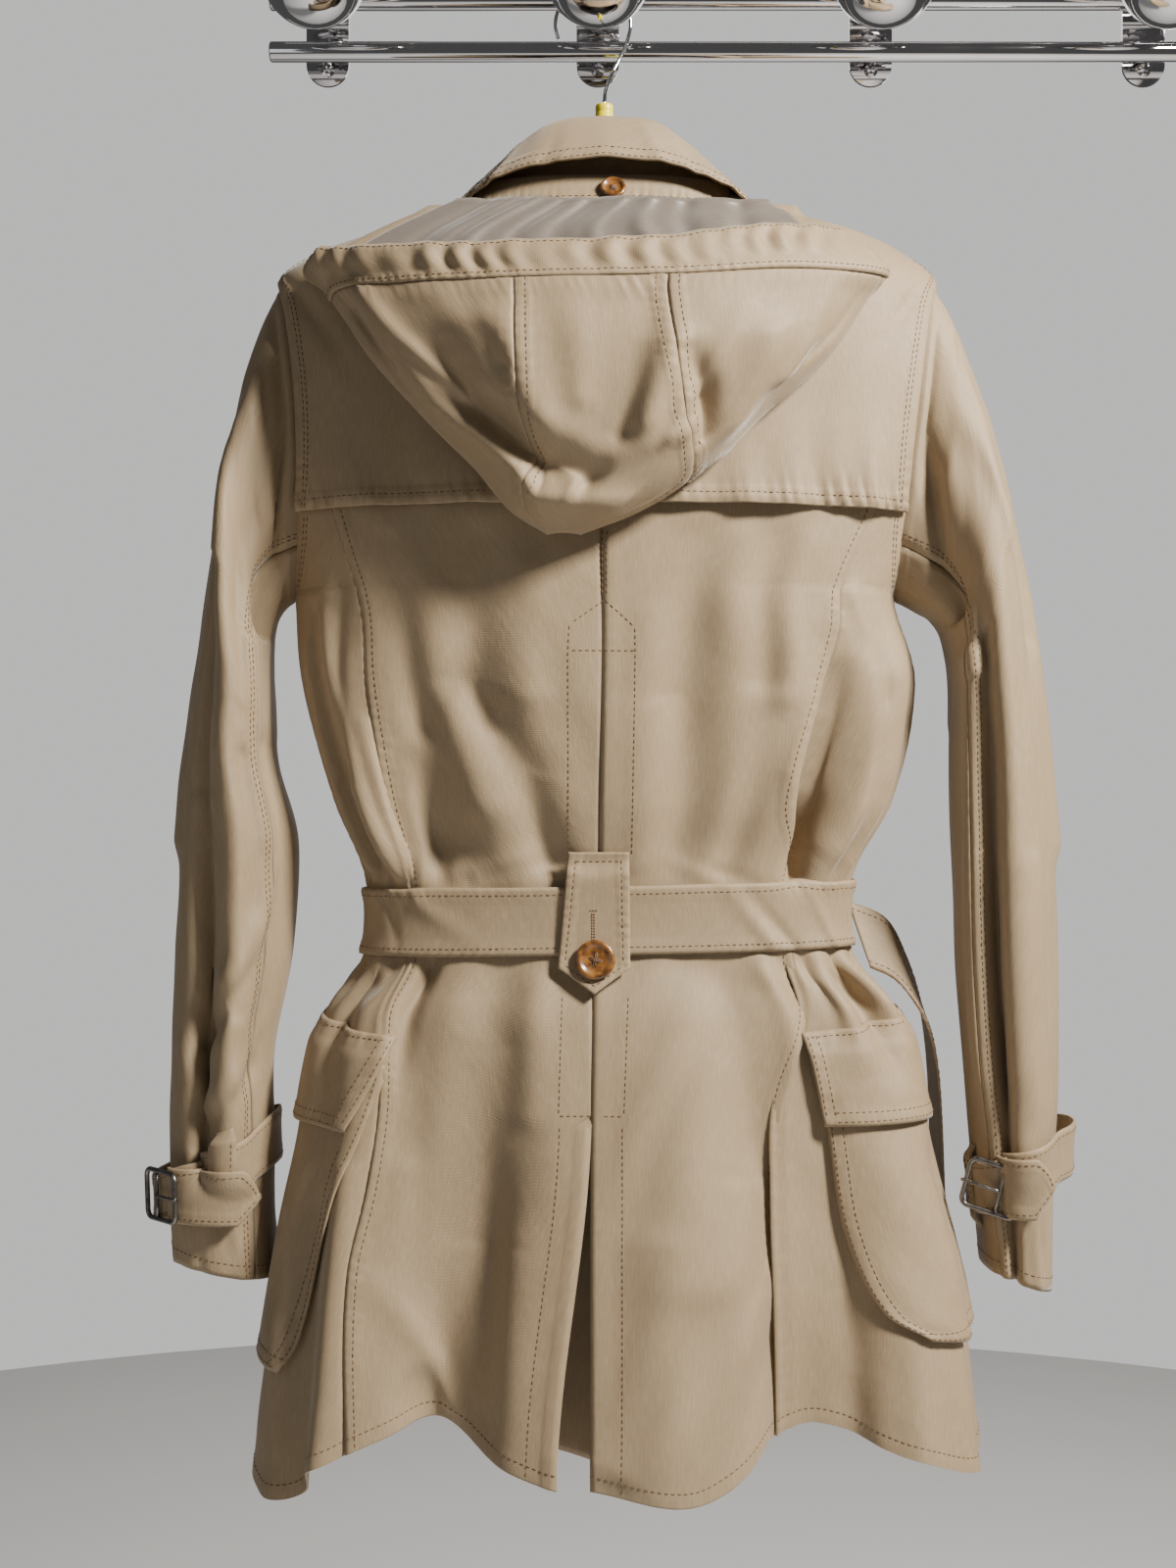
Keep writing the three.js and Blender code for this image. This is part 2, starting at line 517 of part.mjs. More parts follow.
for (const side of ["left", "right"]) {
  const turned = side === "right";
  const ends = (list) => list.map((a, i) => a + (i === 0 ? SLEEVE_GAP : i === list.length - 1 ? -SLEEVE_GAP : 0));
  const upper = wall(sleeve(side), ends(aroundUpper), sleeveRows, -CLOTH / 2, CLOTH / 2, { turned });
  piece(`sleeve_${side}_upper`, upper);
  const under = steps(UNDER_SLEEVE.back, UNDER_SLEEVE.front, 5);
  const lower = wall(sleeve(side), ends(under), sleeveRows, -CLOTH / 2, CLOTH / 2, { turned });
  piece(`sleeve_${side}_under`, lower);
}

// ---------------------------------------------------------------- hardware shapes

// Puts a flat piece, drawn with its back at z = 0, onto a surface at (u, v).
function onto(geometry, surface, u, v, height, { turned = false, reach = [1e-3, 1e-3] } = {}) {
  const { at, along, out } = frameAt(surface, u, v, reach[0], reach[1] * (v < -1 ? -1 : 1));
  if (turned) out.negate();
  const up = out.clone().cross(along);
  const place = new THREE.Matrix4().makeBasis(along, up, out).setPosition(at.addScaledVector(out, height));
  return geometry.clone().applyMatrix4(place);
}

function buttonShape(diameter, thickness) {
  const radius = diameter / 2;
  const profile = [
    [0, 0],
    [radius * 0.82, 0],
    [radius, thickness * 0.5],
    [radius * 0.9, thickness],
    [radius * 0.72, thickness * 0.95],
    [radius * 0.6, thickness * 0.62],
    [0, thickness * 0.58],
  ].map(([x, y]) => new THREE.Vector2(x, y));
  return new THREE.LatheGeometry(profile, 12).rotateX(PI / 2);
}

function rounded(width, height, radius, Kind = THREE.Shape) {
  const [x, y] = [width / 2, height / 2];
  const shape = new Kind();
  shape.moveTo(-x + radius, -y).lineTo(x - radius, -y).absarc(x - radius, -y + radius, radius, -PI / 2, 0);
  shape.lineTo(x, y - radius).absarc(x - radius, y - radius, radius, 0, PI / 2);
  shape.lineTo(-x + radius, y).absarc(-x + radius, y - radius, radius, PI / 2, PI);
  shape.lineTo(-x, -y + radius).absarc(-x + radius, -y + radius, radius, PI, 1.5 * PI);
  return shape;
}

// A buckle: a rounded frame with its prong, drawn flat with its back at z = 0
function buckleShape(width, height, wire) {
  const frame = rounded(width, height, 5);
  frame.holes.push(rounded(width - 2 * wire, height - 2 * wire, 3, THREE.Path));
  const options = { depth: wire, bevelEnabled: false, curveSegments: 2 };
  const bar = new THREE.BoxGeometry(wire, height - wire, wire * 0.8).translate(-width * 0.1, 0, wire * 0.4);
  const prong = new THREE.BoxGeometry(width * 0.58, wire * 0.7, wire * 0.8).translate(width * 0.17, 0, wire * 0.9);
  return joined(new THREE.ExtrudeGeometry(frame, options), bar, prong);
}

// ---------------------------------------------------------------- belt

// The belt slopes down a little towards the left
const beltMiddle = (u) => BELT_Z + 3 * sin(u * PI);
const beltSurface = (u, v) => body(u, beltMiddle(u) - BELT_WIDTH * v);
const BELT_RISE = LAYER + 1;
const beltRise = (u) => BELT_RISE + 3.4 * ease(0.8, 0.87, abs(u));
piece(
  "belt",
  wall(
    beltSurface,
    round(-1, 1, 38).slice(0, -1),
    steps(-0.5, 0.5, 2),
    (u) => beltRise(u) - CLOTH / 2,
    (u) => beltRise(u) + CLOTH / 2,
    { ring: true },
  ),
);

// Its free end hangs down beside the right hip and turns its edge to the viewer of the back
const BELT_TAIL = [
  { t: 0, x0: 169.9, y0: -55, z0: -588, x1: 183, y1: -70, z1: -632 },
  { t: 0.12, x0: 196, y0: -52, z0: -600, x1: 198, y1: -72, z1: -639 },
  { t: 0.24, x0: 211, y0: -47, z0: -627, x1: 210, y1: -78, z1: -652 },
  { t: 0.36, x0: 221, y0: -40, z0: -658, x1: 221, y1: -78, z1: -672 },
  { t: 0.5, x0: 228, y0: -28, z0: -694, x1: 229, y1: -68, z1: -702 },
  { t: 0.65, x0: 232, y0: -18, z0: -737, x1: 233, y1: -60, z1: -741 },
  { t: 0.8, x0: 233, y0: -11, z0: -782, x1: 236, y1: -52, z1: -785 },
  { t: 1, x0: 233, y0: -8, z0: -838, x1: 240, y1: -46, z1: -842 },
];
const beltTail = (s, t) => {
  const edge = (n) => vec(...["x", "y", "z"].map((axis) => column(BELT_TAIL, "t", axis + n, t)));
  return edge(1).lerp(edge(0), s);
};
piece("belt_tail", wall(beltTail, steps(0, 1, 2), steps(0, 1, 12), -CLOTH / 2, CLOTH / 2));

// The tab at the middle of the back holds the belt down
const TAB = { top: -552, corner: -629, tip: -646, topHalf: 19.5, cornerHalf: 23, lean: -3 };
const tabSurface = (s, t) => {
  const z = mix(TAB.top, mix(TAB.tip, TAB.corner, abs(s)), t);
  const x = s * mix(TAB.topHalf, TAB.cornerHalf, t) + TAB.lean * t;
  return vec(x, tube(BODY, x / 560, z).point.y, z);
};
const tabRise = (s, t) => mix(LAYER, BELT_RISE + 2 * CLOTH + 0.6, ease(0.05, 0.2, t));
const tab = wall(
  tabSurface,
  steps(-1, 1, 6),
  [0, 0.06, 0.13, 0.2, 0.6, 0.8, 1],
  (s, t) => tabRise(s, t) - CLOTH / 2,
  (s, t) => tabRise(s, t) + CLOTH / 2,
);
piece("belt_tab", tab);
const tabTop = BELT_RISE + 2 * CLOTH + 0.6 + CLOTH / 2 + SEAM_GAP;
piece("belt_tab_button", onto(buttonShape(26, 4), tabSurface, 0, 0.76, tabTop + 2), "horn");

// ---------------------------------------------------------------- pockets

// back is the edge that shows from behind, front the one round the side. Rows go down the pocket.
const POCKETS = {
  left: {
    flapRise: 1.9,
    bag: [
      { t: 0, back: -0.245, front: -0.58, z: -690 },
      { t: 0.2, back: -0.262, front: -0.585, z: -727 },
      { t: 0.6, back: -0.303, front: -0.59, z: -797 },
      { t: 0.9, back: -0.345, front: -0.59, z: -858 },
      { t: 1, back: -0.375, front: -0.56, z: -874 },
    ],
    flap: [
      { t: 0, back: -0.233, front: -0.575, z: -672, tilt: 16 },
      { t: 1, back: -0.286, front: -0.585, z: -733, tilt: 6 },
    ],
  },
  right: {
    flapRise: 2.5,
    bag: [
      { t: 0, back: 0.226, front: 0.58, z: -690 },
      { t: 0.2, back: 0.236, front: 0.585, z: -730 },
      { t: 0.6, back: 0.239, front: 0.59, z: -800 },
      { t: 0.9, back: 0.27, front: 0.59, z: -852 },
      { t: 1, back: 0.32, front: 0.56, z: -866 },
    ],
    flap: [
      { t: 0, back: 0.212, front: 0.575, z: -670, tilt: 14 },
      { t: 1, back: 0.232, front: 0.585, z: -730, tilt: 0 },
    ],
  },
};
const pocketSurface = (rows, hand) => (s, t) => {
  const share = hand > 0 ? s : 1 - s; // 0 at the back edge
  const u = mix(column(rows, "t", "back", t), column(rows, "t", "front", t), share);
  return body(u, column(rows, "t", "z", t) + (rows[0].tilt ? column(rows, "t", "tilt", t) * share : 0));
};
const pocketSteps = [0, 0.11, 0.22, 0.34, 0.46, 0.58, 0.68, 0.76, 0.84, 0.92, 1];
const pocketShares = (hand) => (hand > 0 ? pocketSteps : mirrored(pocketSteps));
for (const side of ["left", "right"]) {
  const { hand } = ARMHOLE[side];
  const { bag, flap, flapRise } = POCKETS[side];
  const bagRise = (t) => LAYER * 1.5 + 2 * ease(0.6, 1, t);
  const bagWall = wall(
    pocketSurface(bag, hand),
    pocketShares(hand),
    steps(0, 1, 6),
    (s, t) => bagRise(t) - CLOTH / 2,
    (s, t) => bagRise(t) + CLOTH / 2,
  );
  piece(`pocket_${side}`, bagWall);
  const lift = (s, t) => bagRise(0) + flapRise + 2 * t;
  const flapWall = wall(
    pocketSurface(flap, hand),
    pocketShares(hand),
    steps(0, 1, 4),
    (s, t) => lift(s, t) - CLOTH / 2,
    (s, t) => lift(s, t) + CLOTH / 2,
  );
  piece(`pocket_flap_${side}`, flapWall);
}

// ---------------------------------------------------------------- hood

const HOOD = [
  { z: -129, left: -112, centre: 2, right: 150, back: -130, side: -100, front: -108.5 },
  { z: -165, left: -187, centre: 2, right: 190, back: -172, side: -111, front: -123 },
  { z: -203, left: -166, centre: 1, right: 170, back: -187, side: -122, front: -134 },
  { z: -235, left: -146, centre: 0, right: 147, back: -193, side: -131, front: -139 },
  { z: -275, left: -111, centre: -3, right: 103, back: -190, side: -139, front: -143 },
  { z: -307, left: -80, centre: -5, right: 70, back: -182, side: -143, front: -146 },
  { z: -335, left: -46, centre: -8, right: 30, back: -168, side: -146, front: -148.5 },
  { z: -346, left: -24, centre: -10, right: 4, back: -156, side: -147, front: -149 },
];
const HOOD_TOP = -165;
const HOOD_EDGE = [
  { u: -0.5, drop: 5 },
  { u: -0.35, drop: 7 },
  { u: -0.1, drop: -5 },
  { u: 0.07, drop: -2 },
  { u: 0.2, drop: 11 },
  { u: 0.36, drop: 25 },
  { u: 0.5, drop: 8 },
];
const HOOD_FOLDS = [
  { a0: -0.24, b0: -225, a1: -0.05, b1: -300, width: 16, from: -3, to: -8 },
  { a0: 0.2, b0: -225, a1: 0.26, b1: -270, width: 13, from: -3, to: -7 },
  { a0: -0.1, b0: -318, a1: 0.1, b1: -318, width: 12, from: 4, to: 4 },
];
const hoodLevel = (u, r) => r + column(HOOD_EDGE, "u", "drop", u) * ease(-235, HOOD_TOP, r);
const hoodSurface = (u, r) => {
  const { point, out } = tube(HOOD, u, r, hoodLevel(u, r));
  return point.addScaledVector(out, creases(HOOD_FOLDS, u, r, 300) * ease(0.5, 0.4, abs(u)));
};
const HOOD_SEAMS = { left: -0.095, right: 0.115 };
const HOOD_GAP = 0.0012;
const hoodBandZ = HOOD_TOP - 27;
const hoodRows = [...steps(hoodBandZ - SEAM_GAP, -335, 6), -346];
const acrossHood = (from, to, n) => steps(from + HOOD_GAP, to - HOOD_GAP, n);
const hoodPanel = (across) => wall(hoodSurface, across, hoodRows, -CLOTH / 2, CLOTH / 2);
piece("hood_left", hoodPanel(acrossHood(-0.5, HOOD_SEAMS.left, 7)));
piece("hood_centre", hoodPanel(acrossHood(HOOD_SEAMS.left, HOOD_SEAMS.right, 5)));
piece("hood_right", hoodPanel(acrossHood(HOOD_SEAMS.right, 0.5, 7)));
const bandWave = (u) => 0.9 * sin(u * 92) * cos(u * 31);
piece(
  "hood_band",
  wall(
    hoodSurface,
    acrossHood(-0.5, 0.5, 26),
    steps(HOOD_TOP, hoodBandZ, 2),
    (u, r) => (bandWave(u) * (r - hoodBandZ)) / 27 - CLOTH / 2,
    (u, r) => (bandWave(u) * (r - hoodBandZ)) / 27 + CLOTH / 2,
  ),
);
// The half that lies on the yoke, and its lining, which shows above the band
const hoodUnder = (s, r) => {
  const at = (name) => column(HOOD, "z", name, r);
  const [left, right, side, front] = ["left", "right", "side", "front"].map(at);
  const edge = r + (mix(hoodLevel(0.5, r), hoodLevel(-0.5, r), s + 0.5) - r) * ease(-131, -165, r);
  return vec(mix(right, left, s + 0.5), side + 1 + (front - side) * (1 - 4 * s * s), edge);
};
const underRows = [-127.5, -147, ...steps(HOOD_TOP, -335, 6), -346];
const acrossUnder = steps(-0.5, 0.5, 10);
piece("hood_under", wall(hoodUnder, acrossUnder, underRows, -CLOTH / 2, CLOTH / 2));
piece(
  "hood_lining",
  wall(
    hoodUnder,
    steps(-0.42, 0.42, 10),
    underRows.slice(0, -2),
    -LAYER * 0.8 - CLOTH / 2,
    -LAYER * 0.8 + CLOTH / 2,
  ),
  "lining",
);

// ---------------------------------------------------------------- collar

// Rings round the neck that the collar runs through, from the neckline over the fold to its edge. rise goes
// from 0 at the neckline to 1 at the fold, and fall from 0 at the fold to 1 at the edge.
const COLLAR = [
  { v: 0, left: -84, right: 88, back: -86, side: -53, front: -27, rise: 0, fall: 0 },
  { v: 0.3, left: -85, right: 90, back: -84, side: -52, front: -24, rise: 0.62, fall: 0 },
  { v: 0.46, left: -86, right: 92, back: -84, side: -52, front: -22, rise: 0.94, fall: 0 },
  { v: 0.53, left: -88, right: 96, back: -87, side: -52, front: -19, rise: 1, fall: 0 },
  { v: 0.6, left: -92, right: 100, back: -92, side: -52, front: -16, rise: 0.98, fall: 0.08 },
  { v: 0.8, left: -98, right: 107, back: -104, side: -54, front: -12, rise: 1, fall: 0.53 },
  { v: 1, left: -104, right: 113, back: -113, side: -57, front: -9, rise: 1, fall: 1 },
];
const COLLAR_HEIGHTS = [
  { u: 0, fold: -65, edge: -100 },
  { u: 0.1, fold: -66, edge: -103 },
  { u: 0.17, fold: -72, edge: -107 },
  { u: 0.24, fold: -84, edge: -112 },
  { u: 0.32, fold: -91, edge: -115 },
  { u: 0.4, fold: -93, edge: -110 },
  { u: 0.5, fold: -92, edge: -100 },
  { u: 0.7, fold: -108, edge: -136 },
  { u: 0.85, fold: -132, edge: -168 },
  { u: 1, fold: -144, edge: -182 },
];
const collarSurface = (u, v) => {
  const at = (name) => column(COLLAR, "v", name, v);
  const height = (name) => column(COLLAR_HEIGHTS, "u", name, abs(u));
  const ring = Object.fromEntries(["left", "right", "back", "side", "front"].map((name) => [name, at(name)]));
  const neck = level(u, NECK_Z) + 1.9;
  const z = neck + (height("fold") - neck) * at("rise") + (height("edge") - height("fold")) * at("fall");
  return tube([{ z: 0, centre: 4, ...ring }], u, 0, z).point;
};
const STAND_TOP = 0.36;
const aroundCollar = steps(-0.985, 0.985, 24);
const turned = { turned: true };
piece("collar_stand", wall(collarSurface, aroundCollar, steps(0, STAND_TOP, 1), -CLOTH / 2, CLOTH / 2, turned));
const collarSteps = [STAND_TOP + 0.02, 0.46, 0.53, 0.6, 0.72, 0.86, 1];
piece("collar", wall(collarSurface, aroundCollar, collarSteps, -CLOTH / 2, CLOTH / 2, turned));

// The strip that buttons the hood on, under the collar
const STRIP = [
  { v: 0, left: -90, right: 96, back: -98.5, side: -55, z: -107 },
  { v: 1, left: -98, right: 101, back: -107.5, side: -59, z: -127 },
];
const stripSurface = (u, v) => {
  const at = (name) => column(STRIP, "v", name, v);
  const ring = Object.fromEntries(["left", "right", "back", "side"].map((name) => [name, at(name)]));
  return tube([{ z: 0, centre: 4, front: -20, ...ring }], u, 0, at("z")).point;
};
piece("hood_strip", wall(stripSurface, steps(-0.26, 0.26, 10), steps(0, 1, 2), -CLOTH / 2, CLOTH / 2));
piece("hood_strip_button", onto(buttonShape(17, 3.5), stripSurface, 0.035, 0.5, CLOTH / 2 + SEAM_GAP), "horn");

// ---------------------------------------------------------------- cuffs

// A strap goes round each sleeve near its end. reach is how far it stands off at its loose side, at stand.
const CUFFS = {
  left: { middle: 0.905, width: 0.047, tilt: 0.035, reach: 5, stand: 0.05, loop: 0.28, buckle: 0.06, lift: 4 },
  right: { middle: 0.885, width: 0.047, tilt: 0.02, reach: 9, stand: 0.95, loop: 0.4, buckle: 0.3, lift: 0.3 },
};
for (const side of ["left", "right"]) {
  const cuff = CUFFS[side];
  const turned = side === "right";
  const strapSurface = (a, v) => sleeve(side)(a, cuff.middle + cuff.tilt * cos(2 * PI * a) + cuff.width * (v - 0.5));
  const fromStand = (a) => (((a - cuff.stand + 1.5) % 1) - 0.5) / 0.14;
  const standOff = (a) => LAYER * 1.7 + cuff.reach * exp(-(fromStand(a) ** 2));
  const strap = wall(
    strapSurface,
    steps(0, 1, 28).slice(0, -1),
    steps(0, 1, 1),
    (a) => standOff(a) - CLOTH / 2,
    (a) => standOff(a) + CLOTH / 2,
    { ring: true, turned },
  );
  piece(`cuff_strap_${side}`, strap);
  // The loop goes from the sleeve over the strap and back
  const from = cuff.loop - 0.017;
  const loopSurface = (s, v) => strapSurface(mix(from, cuff.loop + 0.017, s), v);
  const rise = (s, v) => standOff(cuff.loop) * ease(-0.32, -0.08, v) * (1 - ease(1.08, 1.32, v)) + (0.3 + CLOTH);
  const loop = wall(
    loopSurface,
    steps(0, 1, 2),
    [-0.32, -0.24, -0.16, -0.08, 0.2, 0.5, 0.8, 1.08, 1.16, 1.24, 1.32],
    (s, v) => rise(s, v) - CLOTH / 2,
    (s, v) => rise(s, v) + CLOTH / 2,
    { turned },
  );
  piece(`cuff_loop_${side}`, loop);
  const lift = standOff(cuff.buckle) + CLOTH / 2 + cuff.lift;
  const buckle = onto(buckleShape(44, 36, 3), strapSurface, cuff.buckle, 0.5, lift, { turned, reach: [0.06, 0.6] });
  piece(`cuff_buckle_${side}`, buckle, "buckle");
}

// ---------------------------------------------------------------- front buttons

const FRONT_BUTTONS = [-236, -351, -450, -670, -781];
FRONT_BUTTONS.forEach((r, i) => {
  const shape = buttonShape(26, 4);
  piece(`front_button_${i + 1}`, onto(shape, (u, v) => body(u + 1, v), 0, r, LAYER * 1.4 + CLOTH / 2 + 0.5), "horn");
});

// ---------------------------------------------------------------- hanger

const HANGER = { y: -47, radius: 5.5, wire: 1.3, hookY: -31.5 };
const hangerPath = new THREE.CatmullRomCurve3(
  [
    ...[-168, -150, -128, -108].map((r) => body(-0.5, r)),
    vec(-40, -50, -88),
    vec(4, -47, -80),
    vec(45, -50, -88),
    ...[-108, -128, -150, -168].map((r) => body(0.5, r)),
  ].map((p, i, all) => {
    const arm = i < 4 || i > all.length - 5;
    return arm ? p.add(vec(-sign(p.x) * 4.2, 0, -(HANGER.radius + CLOTH / 2) - 2.2)) : p;
  }),
);
const circle = (radius, n) => new THREE.Shape(
  steps(0, 2 * PI, n).slice(0, -1).map((a) => new THREE.Vector2(radius * cos(a), radius * sin(a))),
);
const along = (shape, path, n) =>
  new THREE.ExtrudeGeometry(shape, { steps: n, extrudePath: path, bevelEnabled: false });
piece("hanger_body", along(circle(HANGER.radius, 8), hangerPath, 20), "hanger");

const HOOK = { x: -3.4, z: 17.9, radius: 26 };
const hookArc = steps(-1.15, PI + 0.3, 18).map((a) =>
  vec(HOOK.x + HOOK.radius * cos(PI - a) , HANGER.hookY, HOOK.z + HOOK.radius * sin(PI - a)),
);
const hookPath = new THREE.CatmullRomCurve3([
  ...hookArc.slice(3),
  vec(18, -32, 0),
  vec(11, -35, -15),
  vec(5.5, -41, -30),
  vec(4.2, -44, -42.5),
]);
piece("hanger_hook", along(circle(HANGER.wire, 6), hookPath, 30), "chrome");

piece("hanger_ferrule", new THREE.CylinderGeometry(6, 6, 31, 16).rotateX(PI / 2).translate(4.2, -46, -58.5), "ferrule");

// ---------------------------------------------------------------- wall rack

const RACK = { left: -229, right: 424, railRadius: 7, railY: -20, upperZ: 39, lowerZ: 3 };
const BRACKETS = [-191, 0, 193, 386]; // x of each bracket and peg
const PLATE = { width: 30, top: 52, thick: 3, screw: 5, stud: 4 };
const PEG = { radius: 36, y: -72, z: 37 };

for (const [name, z] of [["upper", RACK.upperZ], ["lower", RACK.lowerZ]]) {
  const rail = new THREE.CylinderGeometry(RACK.railRadius, RACK.railRadius, RACK.right - RACK.left, 20);
  rail.rotateZ(PI / 2).translate((RACK.right + RACK.left) / 2, RACK.railY, z);
  piece(`rack_rail_${name}`, rail, "chrome");
}
const railFront = RACK.railY - RACK.railRadius;
BRACKETS.forEach((x, i) => {
  const half = PLATE.width / 2;
  const outline = new THREE.Shape().moveTo(half, 0).lineTo(half, PLATE.top).lineTo(-half, PLATE.top).lineTo(-half, 0);
  outline.absarc(0, 0, half, PI, 2 * PI);
  const plate = new THREE.ExtrudeGeometry(outline, { depth: PLATE.thick, bevelEnabled: false, curveSegments: 8 });
  plate.rotateX(PI / 2);
  const reach = -RACK.railY - RACK.railRadius - SEAM_GAP;
  const arms = [RACK.upperZ, RACK.lowerZ].map((z) =>
    new THREE.CylinderGeometry(4, 4, reach - 1, 8).translate(0, -(reach + 1) / 2, z),
  );
  const dome = [[0, 0], [PLATE.screw, 0], [PLATE.screw * 0.9, 1], [PLATE.screw * 0.55, 2], [0, 2.4]];
  const head = new THREE.LatheGeometry(dome.map(([r, h]) => new THREE.Vector2(r, h)), 12);
  head.rotateX(PI).translate(0, -PLATE.thick + 0.2, -4);
  piece(`rack_bracket_${i + 1}`, joined(plate, ...arms, head), "chrome").position.x = x;

  const studLength = -(PEG.y + PEG.radius - 6) + railFront - SEAM_GAP;
  const stud = new THREE.CylinderGeometry(PLATE.stud, PLATE.stud, studLength, 10);
  stud.translate(0, railFront - SEAM_GAP - studLength / 2, RACK.upperZ - 1);
  const ball = new THREE.SphereGeometry(PEG.radius, 16, 9).translate(0, PEG.y, PEG.z);
  piece(`rack_peg_${i + 1}`, joined(ball, stud), "chrome").position.x = x;
});

export default coat;
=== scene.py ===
import math

import bmesh
import bpy
import numpy as np
from mathutils import Matrix, Vector


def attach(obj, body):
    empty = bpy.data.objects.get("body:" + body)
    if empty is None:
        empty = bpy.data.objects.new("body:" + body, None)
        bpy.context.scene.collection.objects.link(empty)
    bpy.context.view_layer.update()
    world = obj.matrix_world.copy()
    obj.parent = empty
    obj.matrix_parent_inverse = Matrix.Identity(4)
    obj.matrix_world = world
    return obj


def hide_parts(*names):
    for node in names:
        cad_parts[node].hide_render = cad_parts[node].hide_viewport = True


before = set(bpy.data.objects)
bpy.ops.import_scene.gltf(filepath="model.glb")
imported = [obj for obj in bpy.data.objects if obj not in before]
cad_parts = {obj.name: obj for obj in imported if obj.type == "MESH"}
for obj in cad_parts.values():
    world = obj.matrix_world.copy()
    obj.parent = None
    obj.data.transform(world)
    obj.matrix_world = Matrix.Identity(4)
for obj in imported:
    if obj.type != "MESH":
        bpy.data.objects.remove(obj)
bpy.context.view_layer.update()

# ---------------------------------------------------------------- the room
# The coat hangs from a rack with its back to the viewer. Sizes are worked in millimetres and
# written in metres; x runs along the rack, y into the wall, z up, from the wall screw of the
# peg that carries the hanger.

MM = 0.001
camera = bpy.data.objects.new("camera", bpy.data.cameras.new("camera"))
camera.data.sensor_width = 36
camera.data.lens = 45.36
camera.location = (-6.9 * MM, -1400 * MM, -508.3 * MM)
camera.rotation_euler = (math.pi / 2, 0, 0)
bpy.context.collection.objects.link(camera)
bpy.context.scene.camera = camera


def area_light(name, place, target, size, watts, tint):
    lamp = bpy.data.lights.new(name, "AREA")
    lamp.size, lamp.energy, lamp.color = size, watts, tint
    lamp_object = bpy.data.objects.new(name, lamp)
    lamp_object.location = place
    aim = Vector(target) - Vector(place)
    lamp_object.rotation_euler = aim.to_track_quat("-Z", "Y").to_euler()
    bpy.context.collection.objects.link(lamp_object)


area_light("key_light", (1.2, -0.95, 0.62), (0, -0.1, -0.5), 0.34, 102, (1, 0.96, 0.89))
area_light("side_light", (-1.7, -1.3, -0.2), (0, -0.1, -0.5), 1.2, 3.5, (0.95, 0.97, 1))
area_light("rear_light", (0.4, 1.9, 0.6), (0, 0, -0.5), 1.4, 8, (1, 1, 1))

world = bpy.data.worlds.new("studio")
world.use_nodes = True
sky = world.node_tree.nodes["Background"]
sky.inputs["Color"].default_value = (0.80, 0.79, 0.78, 1)
seen = world.node_tree.nodes.new("ShaderNodeLightPath")
strength = world.node_tree.nodes.new("ShaderNodeMapRange")
strength.inputs["To Min"].default_value, strength.inputs["To Max"].default_value = 0.1, 0.85
world.node_tree.links.new(seen.outputs["Is Camera Ray"], strength.inputs["Value"])
world.node_tree.links.new(strength.outputs["Result"], sky.inputs["Strength"])
bpy.context.scene.world = world


class Value:
    """A value that varies over a surface. A sum or product on it adds a Math node."""

    def __init__(self, finish, socket):
        self.finish, self.socket = finish, socket

    def sum(self, operation, first, second):
        return self.finish.node("Math", {"operation": operation}, {0: first, 1: second})

    def __add__(self, other):
        return self.sum("ADD", self, other)

    def __sub__(self, other):
        return self.sum("SUBTRACT", self, other)

    def __rsub__(self, other):
        return self.sum("SUBTRACT", other, self)

    def __mul__(self, other):
        return self.sum("MULTIPLY", self, other)

    def __pow__(self, other):
        return self.sum("POWER", self, other)

    __radd__, __rmul__ = __add__, __mul__


class Finish:
    """A material. Constants go on its shader's own sockets."""

    def __init__(self, name, **constants):
        self.material = bpy.data.materials.new(name)
        self.material.use_nodes = True
        self.tree = self.material.node_tree
        self.shader = self.tree.nodes["Principled BSDF"]
        for socket, value in constants.items():
            self.shader.inputs[socket.replace("_", " ")].default_value = value

    def node(self, kind, settings={}, inputs={}, output=0):
        made = self.tree.nodes.new("ShaderNode" + kind)
        for name, value in settings.items():
            setattr(made, name, value)
        for socket, value in inputs.items():
            if isinstance(value, Value):
                self.tree.links.new(value.socket, made.inputs[socket])
            else:
                made.inputs[socket].default_value = value
        return Value(self, made.outputs[output])

    def feed(self, socket, value):
        self.tree.links.new(value.socket, self.shader.inputs[socket])

    def blend(self, factor, first, second):
        """The colour first where factor is 0 and second where it is 1."""
        return self.node("Mix", {"data_type": "RGBA"}, {0: factor, 6: first, 7: second}, 2)

    def noise(self, place, scale, detail=2, roughness=0.5):
        inputs = {"Vector": place, "Scale": scale, "Detail": detail, "Roughness": roughness}
        return self.node("TexNoise", {}, inputs)

    def bump(self, height, distance, strength=1):
        inputs = {"Height": height, "Distance": distance, "Strength": strength}
        self.feed("Normal", self.node("Bump", {}, inputs))

    def place(self, name="Object"):
        return self.node("TexCoord", {}, {}, name)

    def ramp(self, value, low, high):
        """0 where value is low or less, 1 where it is high or more."""
        return self.node("MapRange", {"interpolation_type": "SMOOTHSTEP"}, {0: value, 1: low, 2: high})


plaster = Finish("floor_paint", Roughness=0.85, Emission_Strength=0.1, Emission_Color=(0.8, 0.79, 0.78, 1))
shade = plaster.noise(plaster.place(), 3)
plaster.feed("Base Color", plaster.blend(shade, (0.80, 0.79, 0.78, 1), (0.84, 0.83, 0.82, 1)))
bpy.ops.mesh.primitive_circle_add(vertices=96, radius=2.6, fill_type="NGON")
floor = bpy.context.active_object
floor.name = "floor"
for corner in floor.data.vertices:
    corner.co.z = -1.62
floor.data.materials.append(plaster.material)

# ---------------------------------------------------------------- the coat's form
# The body hangs as a flattened tube of cloth: level sections from the neckline to the hem, drawn in
# at the belt. Every panel is cut from it, and every sewn-on piece lies a set height off it.

